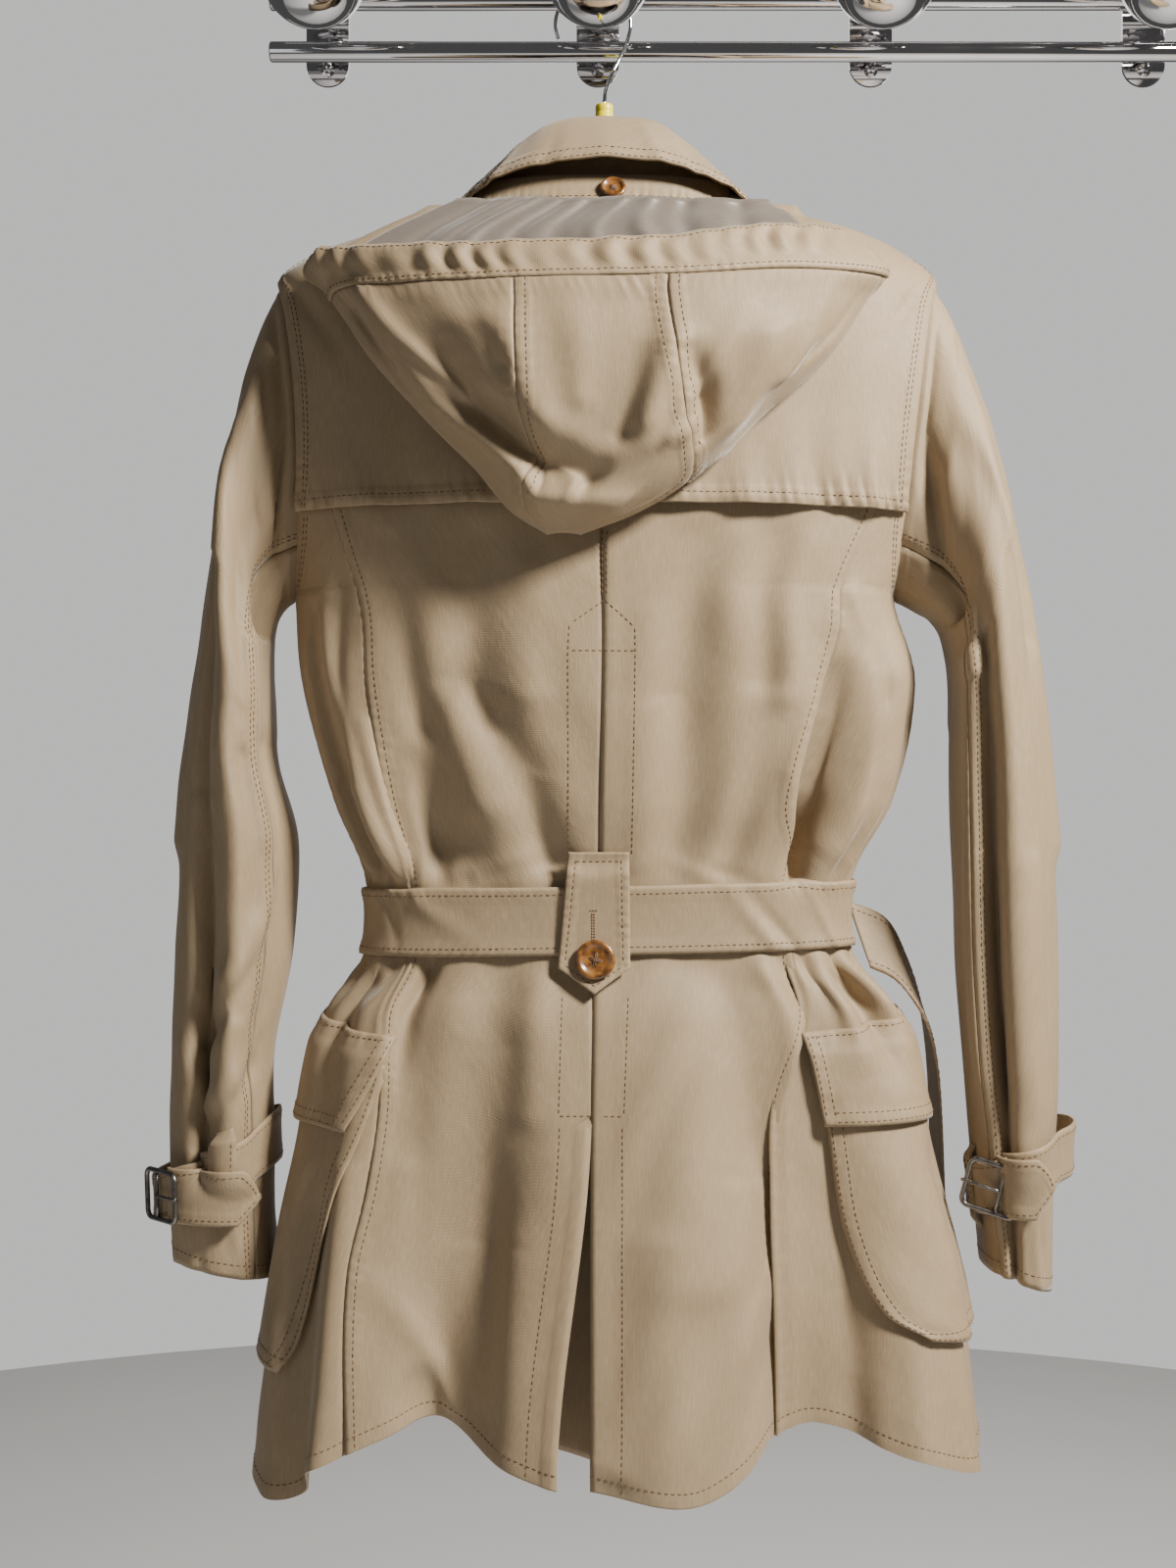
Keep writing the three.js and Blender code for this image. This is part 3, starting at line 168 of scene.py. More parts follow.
CLOTH = 1.2
LAYER = 2.4
NECK_Z, SHOULDER_Z, YOKE_Z, ARMPIT_Z = -100, -171, -328, -382
BELT_Z, BELT_WIDTH, VENT_Z, HEM_Z = -597, 45, -722, -945
SQUARENESS = 0.87


def table(names, rows):
    return dict(zip(names.split(), np.array(rows, float).T))


def ease(start, end, x):
    t = np.clip((x - start) / (end - start), 0, 1)
    return t * t * (3 - 2 * t)


def bump_at(x, middle, width):
    return np.exp(-(((x - middle) / width) ** 2))


def power(x, n):
    return np.sign(x) * np.abs(x) ** n


def mix(a, b, t):
    return a + (b - a) * t


def column(rows, name, at):
    """Smooth value of a table's column. The table's first column is its key."""
    keys, values = next(iter(rows.values())), rows[name]
    if keys[0] > keys[-1]:
        keys, values = keys[::-1], values[::-1]
    order = np.arange(len(keys))
    before, after = np.maximum(order - 1, 0), np.minimum(order + 1, len(keys) - 1)
    slopes = (values[after] - values[before]) / (keys[after] - keys[before])
    at = np.clip(at, keys[0], keys[-1])
    i = np.clip(np.searchsorted(keys, at) - 1, 0, len(keys) - 2)
    span = keys[i + 1] - keys[i]
    t = (at - keys[i]) / span
    start = values[i] * (1 + 2 * t) * (1 - t) ** 2 + slopes[i] * span * t * (1 - t) ** 2
    return start + values[i + 1] * t * t * (3 - 2 * t) + slopes[i + 1] * span * t * t * (t - 1)


def creases(rows, a, b, per_a, per_b=1):
    """Sum of soft creases. Each runs from a0, b0 to a1, b1 and its height goes from start to end.
    One that starts where the row before it ended carries on the same crease."""
    total, strand, ended = 0 * a, 0 * a, None
    for a0, b0, a1, b1, width, start, end in zip(*(rows[n] for n in CREASE.split())):
        da, db = (a1 - a0) * per_a, (b1 - b0) * per_b
        pa, pb = (a - a0) * per_a, (b - b0) * per_b
        t = np.clip((pa * da + pb * db) / (da * da + db * db), 0, 1)
        off = np.hypot(pa - t * da, pb - t * db) / width
        height = mix(start, end, t) * np.exp(-off * off)
        if ended == (a0, b0):
            strand = np.where(np.abs(height) > np.abs(strand), height, strand)
        else:
            total, strand = total + strand, height
        ended = (a1, b1)
    return total + strand


CREASE = "a0 b0 a1 b1 width start end"
BODY = table("z left centre right back side front", [
    (NECK_Z, -84, 2, 88, -86, -53, -27),
    (-128, -132, 2, 164, -97, -55, -24),
    (-148, -178, 2, 197, -104, -56, -22),
    (SHOULDER_Z, -213, 2, 225, -112, -57, -20),
    (-230, -213, 2, 219, -123, -59, -16),
    (-320, -209, 2, 208, -129, -60, -13),
    (ARMPIT_Z, -204, 2, 199, -131, -61, -11),
    (-440, -199, 2, 213, -131, -63, -11),
    (-520, -177, 1, 197, -127, -66, -13),
    (-572, -156, 0, 170, -119, -67, -18),
    (-622, -157, -3, 171, -120, -67, -19),
    (-662, -181, -4, 201, -134, -68, -15),
    (-740, -194, -5, 217, -150, -70, -12),
    (-830, -208, -6, 238, -168, -74, -10),
    (HEM_Z, -218, -7, 252, -188, -80, -10),
])
U_SPAN = 490
BODY_FOLDS = table(CREASE, [
    # the skirt's hollows and ridges
    (-0.17, -650, -0.14, -960, 40, -4, -46),
    (-0.285, -660, -0.26, -960, 24, 6, 15),
    (0.21, -650, 0.175, -960, 38, -5, -42),
    (0.38, -700, 0.37, -960, 36, 2, 12),
    (-0.42, -660, -0.44, -960, 34, 3, 12),
    (0.055, -700, 0.06, -960, 30, 2, 10),
    (-0.75, -660, -0.76, -960, 36, -2, -16),
    (0.74, -660, 0.76, -960, 36, -2, -16),
    # above the belt
    (0.25, -420, 0.262, -585, 18, -6, -36),
    (0.345, -440, 0.335, -565, 17, 3, 9),
    (-0.17, -470, -0.215, -575, 32, -5, -16),
    (-0.305, -420, -0.3, -565, 18, 3, 12),
    (0.13, -380, 0.12, -565, 22, -4, -8),
    # gathers below the belt
    (-0.345, -640, -0.375, -700, 12, -11, 0),
    (-0.31, -640, -0.32, -690, 13, 4, 0),
    (0.33, -640, 0.36, -712, 13, -13, 0),
    (0.285, -640, 0.3, -700, 11, 7, 0),
    (0.39, -640, 0.42, -690, 12, 7, 0),
])
ARMHOLE = {"left": (-1, -213, -204, 9), "right": (1, 225, 199, -3)}  # hand, tip, pit, bow
ARMHOLE_Y, ARMHOLE_DEPTH = -58, 37


def armhole(side, r):
    """The armhole's x at a height, and the share of each quarter of the section that is cloth."""
    hand, tip, pit, bow = ARMHOLE[side]
    t = np.clip((SHOULDER_Z - r) / (SHOULDER_Z - ARMPIT_Z), 0, 1)
    inside = (t > 0) & (t < 1)
    half = ARMHOLE_DEPTH * 2 * np.sqrt(t * (1 - t))
    cut = {}
    for face in ("back", "front"):
        reach = np.abs(column(BODY, face, r) - ARMHOLE_Y)
        cosine = np.clip(half / reach, 0, 1) ** (1 / SQUARENESS)
        cut[face] = np.where(inside, np.arccos(cosine) / (math.pi / 2), 1)
    return mix(tip, pit, t) + bow * 4 * t * (1 - t), cut["back"], cut["front"], inside


def tube(rows, u, r, z=None, side=None, half=None):
    wrapped = np.where(u > 1, u - 2, np.where(u < -1, u + 2, u))
    angle = wrapped * math.pi
    centre = column(rows, "centre", r)
    edge = np.where(wrapped < 0, column(rows, "left", r), column(rows, "right", r))
    half = np.abs(edge - centre) if half is None else half
    side = column(rows, "side", r) if side is None else side
    back, front = column(rows, "back", r), column(rows, "front", r)
    depth = np.where(np.cos(angle) > 0, back - side, side - front)
    x = centre + half * power(np.sin(angle), SQUARENESS)
    y = side + depth * power(np.cos(angle), SQUARENESS)
    out = np.stack([np.sin(angle) / half, -np.cos(angle) / np.abs(depth), 0 * x], -1)
    out /= np.linalg.norm(out, axis=-1, keepdims=True)
    return np.stack([x, y, (r if z is None else z) + 0 * x], -1), out


HEM = table("u drop", [
    (-1, 26), (-0.7, 20), (-0.46, -12), (-0.36, -22), (-0.27, 8), (-0.16, 33), (-0.07, 16), (0, 3),
    (0.07, -6), (0.13, 18), (0.19, 28), (0.28, 10), (0.38, -4), (0.5, 4), (0.7, 20), (1, 26),
])


def level(u, r):
    middle = (1 + np.cos(2 * math.pi * u)) / 2
    neck = np.where(np.abs(u) < 0.5, 12 * ease(-160, NECK_Z, r), 62 * ease(-320, NECK_Z, r))
    neck_side = 20 * bump_at(np.abs(u), 0.5, 0.17) * ease(-150, NECK_Z, r)
    return r - neck * middle - neck_side + column(HEM, "drop", u) * ease(-780, HEM_Z, r)


def body(any_u, r):
    """A point of the coat's middle face: u is 0 at the middle of the back and 1 at that of the front."""
    u = np.where(any_u > 1, any_u - 2, np.where(any_u < -1, any_u + 2, any_u))
    r = r + 0 * u
    centre = column(BODY, "centre", r)
    half = np.abs(np.where(u < 0, column(BODY, "left", r), column(BODY, "right", r)) - centre)
    side = column(BODY, "side", r)
    for name, on_it in (("left", u < 0), ("right", u >= 0)):
        x, back, front, inside = armhole(name, r)
        covers = np.where(np.abs(u) < 0.5, back, front)
        here = on_it & inside
        reach = np.abs(x - centre) / np.maximum(np.sin(covers * math.pi / 2), 1e-6) ** SQUARENESS
        half, side = np.where(here, reach, half), np.where(here, ARMHOLE_Y, side)
    point, out = tube(BODY, u, r, level(u, r), side, half)
    calm = ease(-385, -440, r) * (1 - np.exp(-(((r - BELT_Z) / 40) ** 4)))
    return point + out * (creases(BODY_FOLDS, u, r, U_SPAN) * calm)[..., None]


# ---------------------------------------------------------------- gabardine and sewing
# The shell is tight cotton gabardine with a soft sheen. Pieces are cut flat and lap-sewn with rows of
# thick thread, which draws the cloth up into small uneven puckers beside each row.

gabardine = Finish("gabardine", Sheen_Weight=0.25, Sheen_Roughness=0.35, Specular_IOR_Level=0.42)
cut = gabardine.place("UV")
cloud = gabardine.noise(cut, 9, 3, 0.55)
slub = gabardine.noise(gabardine.node("Mapping", {}, {"Vector": cut, "Scale": (900, 90, 1)}), 1, 1)
worn = gabardine.noise(cut, 140, 3, 0.6)
tone = gabardine.blend(cloud, (0.265, 0.19, 0.108, 1), (0.33, 0.243, 0.145, 1))
tone = gabardine.blend(gabardine.ramp(slub, 0.35, 0.75) * 0.28, tone, (0.43, 0.33, 0.215, 1))
tone = gabardine.blend(gabardine.ramp(worn, 0.5, 0.8) * 0.2, tone, (0.25, 0.18, 0.107, 1))
gabardine.feed("Base Color", tone)
crinkle = gabardine.noise(gabardine.node("Mapping", {}, {"Vector": cut, "Scale": (38, 30, 1)}), 1, 3, 0.5)
gabardine.feed("Roughness", worn * 0.16 + 0.5)
twill = gabardine.node("TexWave", {"bands_direction": "DIAGONAL"}, {"Vector": cut, "Scale": 620.0, "Distortion": 0.4})
gabardine.bump(twill * 0.3 + slub * 0.45 + worn * 0.7 + crinkle * 3.2, 0.0003, 0.6)

thread = Finish("thread", Roughness=0.55)
twist = thread.noise(thread.place(), 900, 2)
thread.feed("Base Color", thread.blend(twist, (0.085, 0.045, 0.02, 1), (0.17, 0.095, 0.045, 1)))

laid = {}  # each finished piece's outer face, for what is sewn onto it


def puckers(away, along, size, pitch, reach, ridge, row, seed):
    """Height of the cloth beside a sewn edge, in millimetres: small gathers, and the seam's turnings."""
    dice = np.random.default_rng(seed)
    phase = dice.uniform(0, 6.28, 6)
    slant = dice.uniform(-0.35, 0.35)
    run = (along + slant * away + 0.35 * pitch * np.sin(along / (2.1 * pitch) + phase[0])) * 2 * math.pi / pitch
    wave = 0.55 * np.sin(run + phase[1]) + 0.45 * np.sin(1.63 * run + phase[2]) * np.cos(0.37 * run + phase[3])
    uneven = 0.62 + 0.38 * np.sin(along / (3.7 * pitch) + phase[4])
    gather = size * wave * uneven * np.exp(-((away / reach) ** 2)) * ease(-0.5, 0.25 * reach, away)
    turning = ridge * (ease(0, 2.5, away) - ease(row + 1, row + 5, away))
    return gather + turning - 0.45 * ridge * bump_at(away, row, 1.1)


def rumple(across, down, size, seed):
    """Slight unevenness of hanging cloth, a few centimetres from crest to crest."""
    dice = np.random.default_rng(seed)
    total = 0 * across
    for _ in range(9):
        angle, length = dice.uniform(-0.9, 0.9), dice.uniform(28, 95)
        wave = (across * math.cos(angle) + down * math.sin(angle)) * 2 * math.pi / length
        drift = 1.4 * np.sin(down / dice.uniform(60, 140) + dice.uniform(0, 6.28))
        total = total + np.sin(wave + drift + dice.uniform(0, 6.28)) * length / 60
    return size * total / 4


def smooth_normals(points, turned=False, ring=False):
    along, down = np.gradient(points, axis=1), np.gradient(points, axis=0)
    if ring:
        along[:, 0] = along[:, -1] = points[:, 1] - points[:, -2]
    out = np.cross(down, along)
    out /= np.maximum(np.linalg.norm(out, axis=-1, keepdims=True), 1e-9)
    return -out if turned else out


def cloth(name, surface, us, vs, rise=0, sewn=(), fold=None, uneven=0.35, thick=CLOTH, seed=1,
          still=None, ring=False, turned=False, finish=gabardine, slot="shell", node=None):
    """One cut piece: a sheet laid on a surface over the grid of us and vs, with its sewn edges drawn up.
    sewn names edges, left or right at the ends of us, top or bottom at those of vs, with how each is sewn."""
    u, v = np.meshgrid(np.asarray(us, float), np.asarray(vs, float))
    points = surface(u, v)
    step = np.linalg.norm(np.diff(points, axis=1), axis=-1)
    across = np.concatenate([np.zeros((len(vs), 1)), np.cumsum(step, 1)], 1)
    step = np.linalg.norm(np.diff(points, axis=0), axis=-1)
    down = np.concatenate([np.zeros((1, len(us))), np.cumsum(step, 0)], 0)
    off = {"left": (across, down), "right": (across[:, -1:] - across, down),
           "top": (down, across), "bottom": (down[-1:] - down, across)}
    height = 0 * u
    if fold is not None:
        height = height + fold(u, v, across, down)
    if uneven:
        nearest = np.minimum.reduce([off[edge][0] for edge, _ in sewn] or [across * 0 + 99])
        height = height + rumple(across, down, uneven, seed) * (0.25 + 0.75 * ease(0, 25, nearest))
    for count, (edge, how) in enumerate(sewn):
        away, along = off[edge]
        height = height + puckers(away, along, seed=seed * 10 + count, **{**SEAM, **how})
    height = height * (1 if still is None else still(u, v)) + (rise(u, v) if callable(rise) else rise)
    if ring:
        height = mix(height, height[:, :1], ease(0.96, 1, (u - u[0, 0]) / (u[0, -1] - u[0, 0])))
    points = points + smooth_normals(points, turned, ring) * height[..., None]
    out = smooth_normals(points, turned, ring)
    laid[name] = {"points": points + out * thick / 2, "out": out, "off": off, "u": u, "v": v}

    shell = bmesh.new()
    bmesh.ops.create_grid(shell, x_segments=len(us) - 1, y_segments=len(vs) - 1, size=0.5)
    on_cut = shell.loops.layers.uv.new("cut")
    on_grid = shell.verts.layers.int.new("on_grid")
    for corner in shell.verts:
        i, j = round((corner.co.x + 0.5) * (len(us) - 1)), round((corner.co.y + 0.5) * (len(vs) - 1))
        corner[on_grid] = j * len(us) + i
        corner.co = (points[j, i] + out[j, i] * thick / 2) * MM
    for face in shell.faces:
        for loop in face.loops:
            j, i = divmod(loop.vert[on_grid], len(us))
            loop[on_cut].uv = (across[j, i] * MM, down[j, i] * MM)
        face.smooth = True
    if ring:
        bmesh.ops.remove_doubles(shell, verts=shell.verts, dist=0.05 * MM)
    outer = set(shell.faces)
    copied = bmesh.ops.extrude_face_region(shell, geom=shell.faces[:], use_keep_orig=True)["geom"]
    for corner in copied:
        if isinstance(corner, bmesh.types.BMVert):
            j, i = divmod(corner[on_grid], len(us))
            corner.co = (points[j, i] - out[j, i] * thick / 2) * MM
    inner = {face for face in copied if isinstance(face, bmesh.types.BMFace)}
    for face in shell.faces:
        face.smooth = face in outer or face in inner
    bmesh.ops.recalc_face_normals(shell, faces=shell.faces)
    return finished(name + "_cloth", shell, finish, slot, node or name)


def finished(name, shape, finish, slot, *nodes):
    """Makes a piece of the coat from a bmesh, with its finish, and hides the solids it stands for."""
    mesh = bpy.data.meshes.new(name)
    shape.to_mesh(mesh)
    shape.free()
    mesh.materials.append(finish.material)
    made = bpy.data.objects.new(name, mesh)
    bpy.context.collection.objects.link(made)
    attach(made, "root")
    if nodes and nodes[0]:
        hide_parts(*nodes)
    return made


SEAM = {"size": 0.8, "pitch": 8, "reach": 9, "ridge": 0.5, "row": 7}
SIDE_SEAM = {"size": 0.4, "pitch": 11, "reach": 8, "ridge": 0.3, "row": 5}
SOFT_EDGE = {"size": 0.15, "pitch": 14, "reach": 10, "ridge": 0.2, "row": 8}


def row_along(name, edge, away, start=0, end=1):
    """A line of thread on a laid piece, a set distance from one of its edges."""
    face = laid[name]
    distance = face["off"][edge][0]
    sideways = edge in ("left", "right")
    lines = range(distance.shape[0] if sideways else distance.shape[1])
    found = []
    for n in lines:
        from_edge = distance[n] if sideways else distance[:, n]
        points, out = (face[k][n] if sideways else face[k][:, n] for k in ("points", "out"))
        if from_edge.max() < away:
            continue
        order = np.argsort(from_edge)
        at = lambda list_: np.stack([np.interp(away, from_edge[order], list_[order, k]) for k in range(3)])
        found.append((at(points), at(out)))
    found = found[int(start * len(found)): max(int(end * len(found)), 2)]
    return found


stitch_rows = {}


def stitch(piece_name, rows, length=2.9, gap=1.3, width=0.8):
    """Adds rows of lock stitches, each a short raised capsule of thread, to what is sewn on a piece."""
    stitch_rows.setdefault(piece_name, []).append((rows, length, gap, width))


def sew(name, edge, away, start=0, end=1):
    """A row of stitches on a laid piece, along one of its edges."""
    stitch(name, row_along(name, edge, away, start, end))


def sew_all():
    for piece_name, wanted in stitch_rows.items():
        sewing = bmesh.new()
        for rows, length, gap, width in wanted:
            points = np.array([p for p, _ in rows])
            outs = np.array([o for _, o in rows])
            run = np.concatenate([[0], np.cumsum(np.linalg.norm(np.diff(points, axis=0), axis=1))])
            for start in np.arange(0.6, run[-1] - length, length + gap):
                at = lambda s, data: Vector([np.interp(s, run, data[:, k]) for k in range(3)])
                begin, end = at(start, points), at(start + length, points)
                out = at(start + length / 2, outs).normalized()
                along = (end - begin).normalized()
                turn = Matrix((along, out.cross(along), out)).transposed().to_4x4()
                turn.translation = ((begin + end) / 2 + out * 0.12) * MM
                made = bmesh.ops.create_uvsphere(sewing, u_segments=6, v_segments=3, radius=0.5)["verts"]
                for corner in made:
                    x, y, z = corner.co
                    corner.co = turn @ (Vector((z * length, y * width, x * width * 0.8)) * MM)
        for face in sewing.faces:
            face.smooth = True
        bmesh.ops.recalc_face_normals(sewing, faces=sewing.faces)
        finished("stitches_" + piece_name, sewing, thread, "shell")


# ---------------------------------------------------------------- backs, sides and fronts
# Two backs, two sides and two fronts of gabardine, lap-sewn at long seams. The backs part below the
# belt at a vent, whose edges are turned in and top-sewn; the fronts overlap, the right one outside.

BACK_SEAM = table("z left right", [
    (-320, 0.29, 0.3), (-355, 0.28, 0.285), (-400, 0.26, 0.268), (-443, 0.262, 0.226),
    (-520, 0.272, 0.206), (-568, 0.28, 0.249), (-635, 0.275, 0.249), (-703, 0.25, 0.187),
    (-767, 0.25, 0.17), (-821, 0.258, 0.163), (HEM_Z, 0.24, 0.16),
])
STEP_Z, U_GAP, OVERLAP_U, UNDER_LAP = -316, 0.0002, 0.06, 0.014
VENT_SWING = {"left": 19, "right": 1.5}
HANDS = {"left": -1, "right": 1}
BACK_CREASES = table(CREASE, [
    # soft hollows and swells that hang from the yoke
    (0.088, -345, 0.068, -450, 15, -3.0, -9.5), (0.068, -450, 0.082, -565, 14, -9.5, -4.5),
    (0.118, -350, 0.12, -560, 15, 2.0, 4.5), (0.034, -400, 0.036, -560, 9, 1.0, 2.2),
    (-0.1, -345, -0.13, -440, 16, -2.0, -9.0), (-0.13, -440, -0.072, -500, 13, -9.0, -6.0),
    (-0.072, -500, -0.05, -560, 11, -6.0, -8.0), (-0.165, -400, -0.12, -520, 14, 2.0, 5.0),
    (-0.215, -350, -0.19, -470, 12, -1.5, -5.0), (-0.055, -370, -0.06, -450, 11, 1.0, 3.5),
    (0.165, -350, 0.15, -440, 11, -1.6, -3.6), (0.2, -350, 0.175, -450, 10, 1.4, 3.6),
    (0.155, -470, 0.14, -565, 11, -1.0, -4.5),
    # the deep fold beside the right seam, and the folds at both sides of the waist
    (0.212, -450, 0.195, -500, 7, 1.0, 3.0), (0.195, -500, 0.23, -572, 7, 3.0, 4.0),
    (-0.235, -500, -0.25, -572, 8, 1.0, 4.5), (-0.2, -505, -0.215, -572, 9, -1.0, -5.0),
    # cross pulls where the belt draws the cloth in
    (-0.06, -551, -0.15, -570, 6, 0.5, 3.0), (-0.09, -562, -0.2, -576, 5, -0.6, -3.0),
    (0.06, -556, 0.12, -571, 6, 0.5, 2.6), (0.1, -560, 0.19, -575, 5, -0.6, -3.0),
    # gathers just under the belt, running out down the skirt
    (-0.225, -622, -0.222, -700, 8, -12.0, -1.0), (-0.12, -625, -0.1, -680, 16, -1.5, -6.0),
    (-0.1, -680, -0.095, -800, 18, -6.0, -12.5), (-0.095, -800, -0.08, -960, 17, -12.5, 2.0),
    (-0.165, -640, -0.17, -900, 15, 2.0, 5.0), (-0.055, -640, -0.055, -720, 9, 2.0, 2.5),
    (0.07, -640, 0.075, -820, 16, 2.0, 5.0), (0.13, -625, 0.15, -760, 14, -2.0, -9.0),
    (0.15, -760, 0.15, -960, 16, -9.0, -5.0), (0.195, -622, 0.2, -760, 9, 4.5, 3.5),
    (0.235, -622, 0.23, -700, 7, -5.0, -1.0),
    # the skirt's smaller folds
    (-0.21, -760, -0.205, -960, 14, 3.0, 9.0),
    (0.125, -770, 0.105, -960, 15, 3.0, 6.0), (0.215, -760, 0.2, -960, 12, 2.5, 8.0),
    (-0.055, -800, -0.045, -960, 12, 1.5, 4.0), (0.045, -800, 0.05, -960, 12, 3.0, 4.0),
    (0.19, -800, 0.02, -930, 10, 1.0, 4.5), (0.15, -870, 0.06, -950, 9, -1.0, -4.0),
    (-0.23, -830, -0.13, -930, 9, 1.5, 4.0),
])
SIDE_CREASES = table(CREASE, [
    (-0.3, -380, -0.33, -500, 9, -2.0, -4.5), (-0.335, -400, -0.3, -565, 8, 2.4, 6.5),
    (-0.37, -395, -0.36, -560, 10, -2.5, -7.0), (-0.4, -420, -0.4, -560, 9, 2.0, 4.5),
    (-0.278, -470, -0.272, -574, 6, 1.5, 6.0), (-0.32, -520, -0.325, -576, 5, -1.5, -5.5),
    (-0.44, -500, -0.43, -572, 8, -1.0, -4.0),
    (0.236, -425, 0.224, -470, 6, -1.0, -9.0), (0.224, -470, 0.228, -520, 7, -9.0, -15.0),
    (0.228, -520, 0.268, -578, 8, -15.0, -13.0), (0.275, -430, 0.268, -500, 12, 2.0, 5.5),
    (0.268, -500, 0.31, -576, 12, 5.5, 5.0), (0.34, -430, 0.35, -576, 10, -2.0, -4.0),
    (0.3, -385, 0.34, -450, 9, 2.5, -2.0), (0.39, -410, 0.39, -576, 11, 1.5, 3.0),
    (0.44, -430, 0.44, -576, 11, -1.0, -3.0),
    (-0.26, -622, -0.25, -700, 8, 6.0, 2.0), (-0.3, -622, -0.32, -660, 9, -4.0, -1.0),
    (-0.35, -622, -0.36, -660, 11, 5.0, 1.0), (-0.41, -622, -0.42, -662, 10, -4.0, -1.0),
    (0.275, -622, 0.27, -668, 6, -6.0, -1.0),
    (0.31, -622, 0.3, -665, 10, 5.0, 1.5), (0.35, -622, 0.355, -662, 8, -5.0, -1.0),
    (0.39, -622, 0.4, -665, 10, 5.0, 1.0), (0.44, -622, 0.45, -670, 9, -4.0, -1.0),
    (0.3, -870, 0.29, -960, 13, 3.0, 8.0),
    (-0.33, -790, -0.33, -960, 15, -3.0, -8.0), (0.43, -760, 0.43, -960, 15, -3.0, -8.0),
    (-0.28, -760, -0.272, -960, 9, 2.0, 5.0), (-0.39, -860, -0.38, -960, 12, 2.0, 6.0),
    (0.235, -720, 0.228, -960, 9, -2.0, -5.0), (0.265, -860, 0.25, -960, 10, 1.0, 4.0),
])
FRONT_CREASES = table(CREASE, [
    (-0.6, -390, -0.62, -560, 14, -3, -9), (0.6, -390, 0.62, -560, 14, -3, -9),
    (-0.7, -420, -0.69, -565, 13, 3, 8), (0.7, -430, 0.69, -565, 13, 3, 7),
    (-0.8, -350, -0.83, -540, 16, -3, -7), (0.82, -380, 0.84, -550, 15, -3, -7),
    (-0.58, -625, -0.57, -740, 11, 7, 3), (0.59, -625, 0.57, -740, 11, 7, 3),
    (-0.65, -625, -0.64, -760, 11, -7, -3), (0.66, -625, 0.65, -770, 11, -7, -3),
    (-0.73, -625, -0.72, -720, 11, 6, 2), (0.74, -625, 0.73, -730, 11, 6, 2),
    (-0.85, -640, -0.86, -940, 20, 4, 11), (0.86, -640, 0.86, -940, 20, 3, 9),
    (-0.63, -780, -0.62, -960, 18, 4, 11), (0.63, -780, 0.62, -960, 18, 4, 11),
])


def back_share(side, r):
    return armhole(side, r)[1]


def front_share(side, r):
    return armhole(side, r)[2]


def back_edge(side, r):
    low = column(BACK_SEAM, side, r) - U_GAP
    return np.where(r > STEP_Z, np.minimum(0.5 * back_share(side, r), 0.5 - U_GAP), low)


def side_edge(side, r):
    return 0.5 * back_share(side, r) - np.where(r <= ARMPIT_Z, U_GAP, 0)


def front_edge(side, r):
    return 1 - 0.5 * front_share(side, r) + np.where((r <= ARMPIT_Z) | (r >= SHOULDER_Z), U_GAP, 0)


def panel(side, start, end):
    """The body's surface from one u to another, both functions of the height, with s across it."""
    hand = HANDS[side]

    def surface(s, r):
        t = s if hand > 0 else 1 - s
        return body(hand * mix(start(r), end(r), t), r)
    return surface


def panel_folds(side, start, end, rows):
    hand = HANDS[side]

    def fold(s, r, across, down):
        t = s if hand > 0 else 1 - s
        u = hand * mix(start(r), end(r), t)
        calm = ease(-330, -350, r) * (1 - np.exp(-(((r - BELT_Z) / 31) ** 4)))
        return creases(rows, u, r, U_SPAN) * calm
    return fold


def levels(*stops):
    """Heights from stop to stop, each pair with its own spacing."""
    rows = [np.arange(stops[k], stops[k + 2], -stops[k + 1]) for k in range(0, len(stops) - 2, 2)]
    return np.concatenate(rows + [[stops[-1]]])


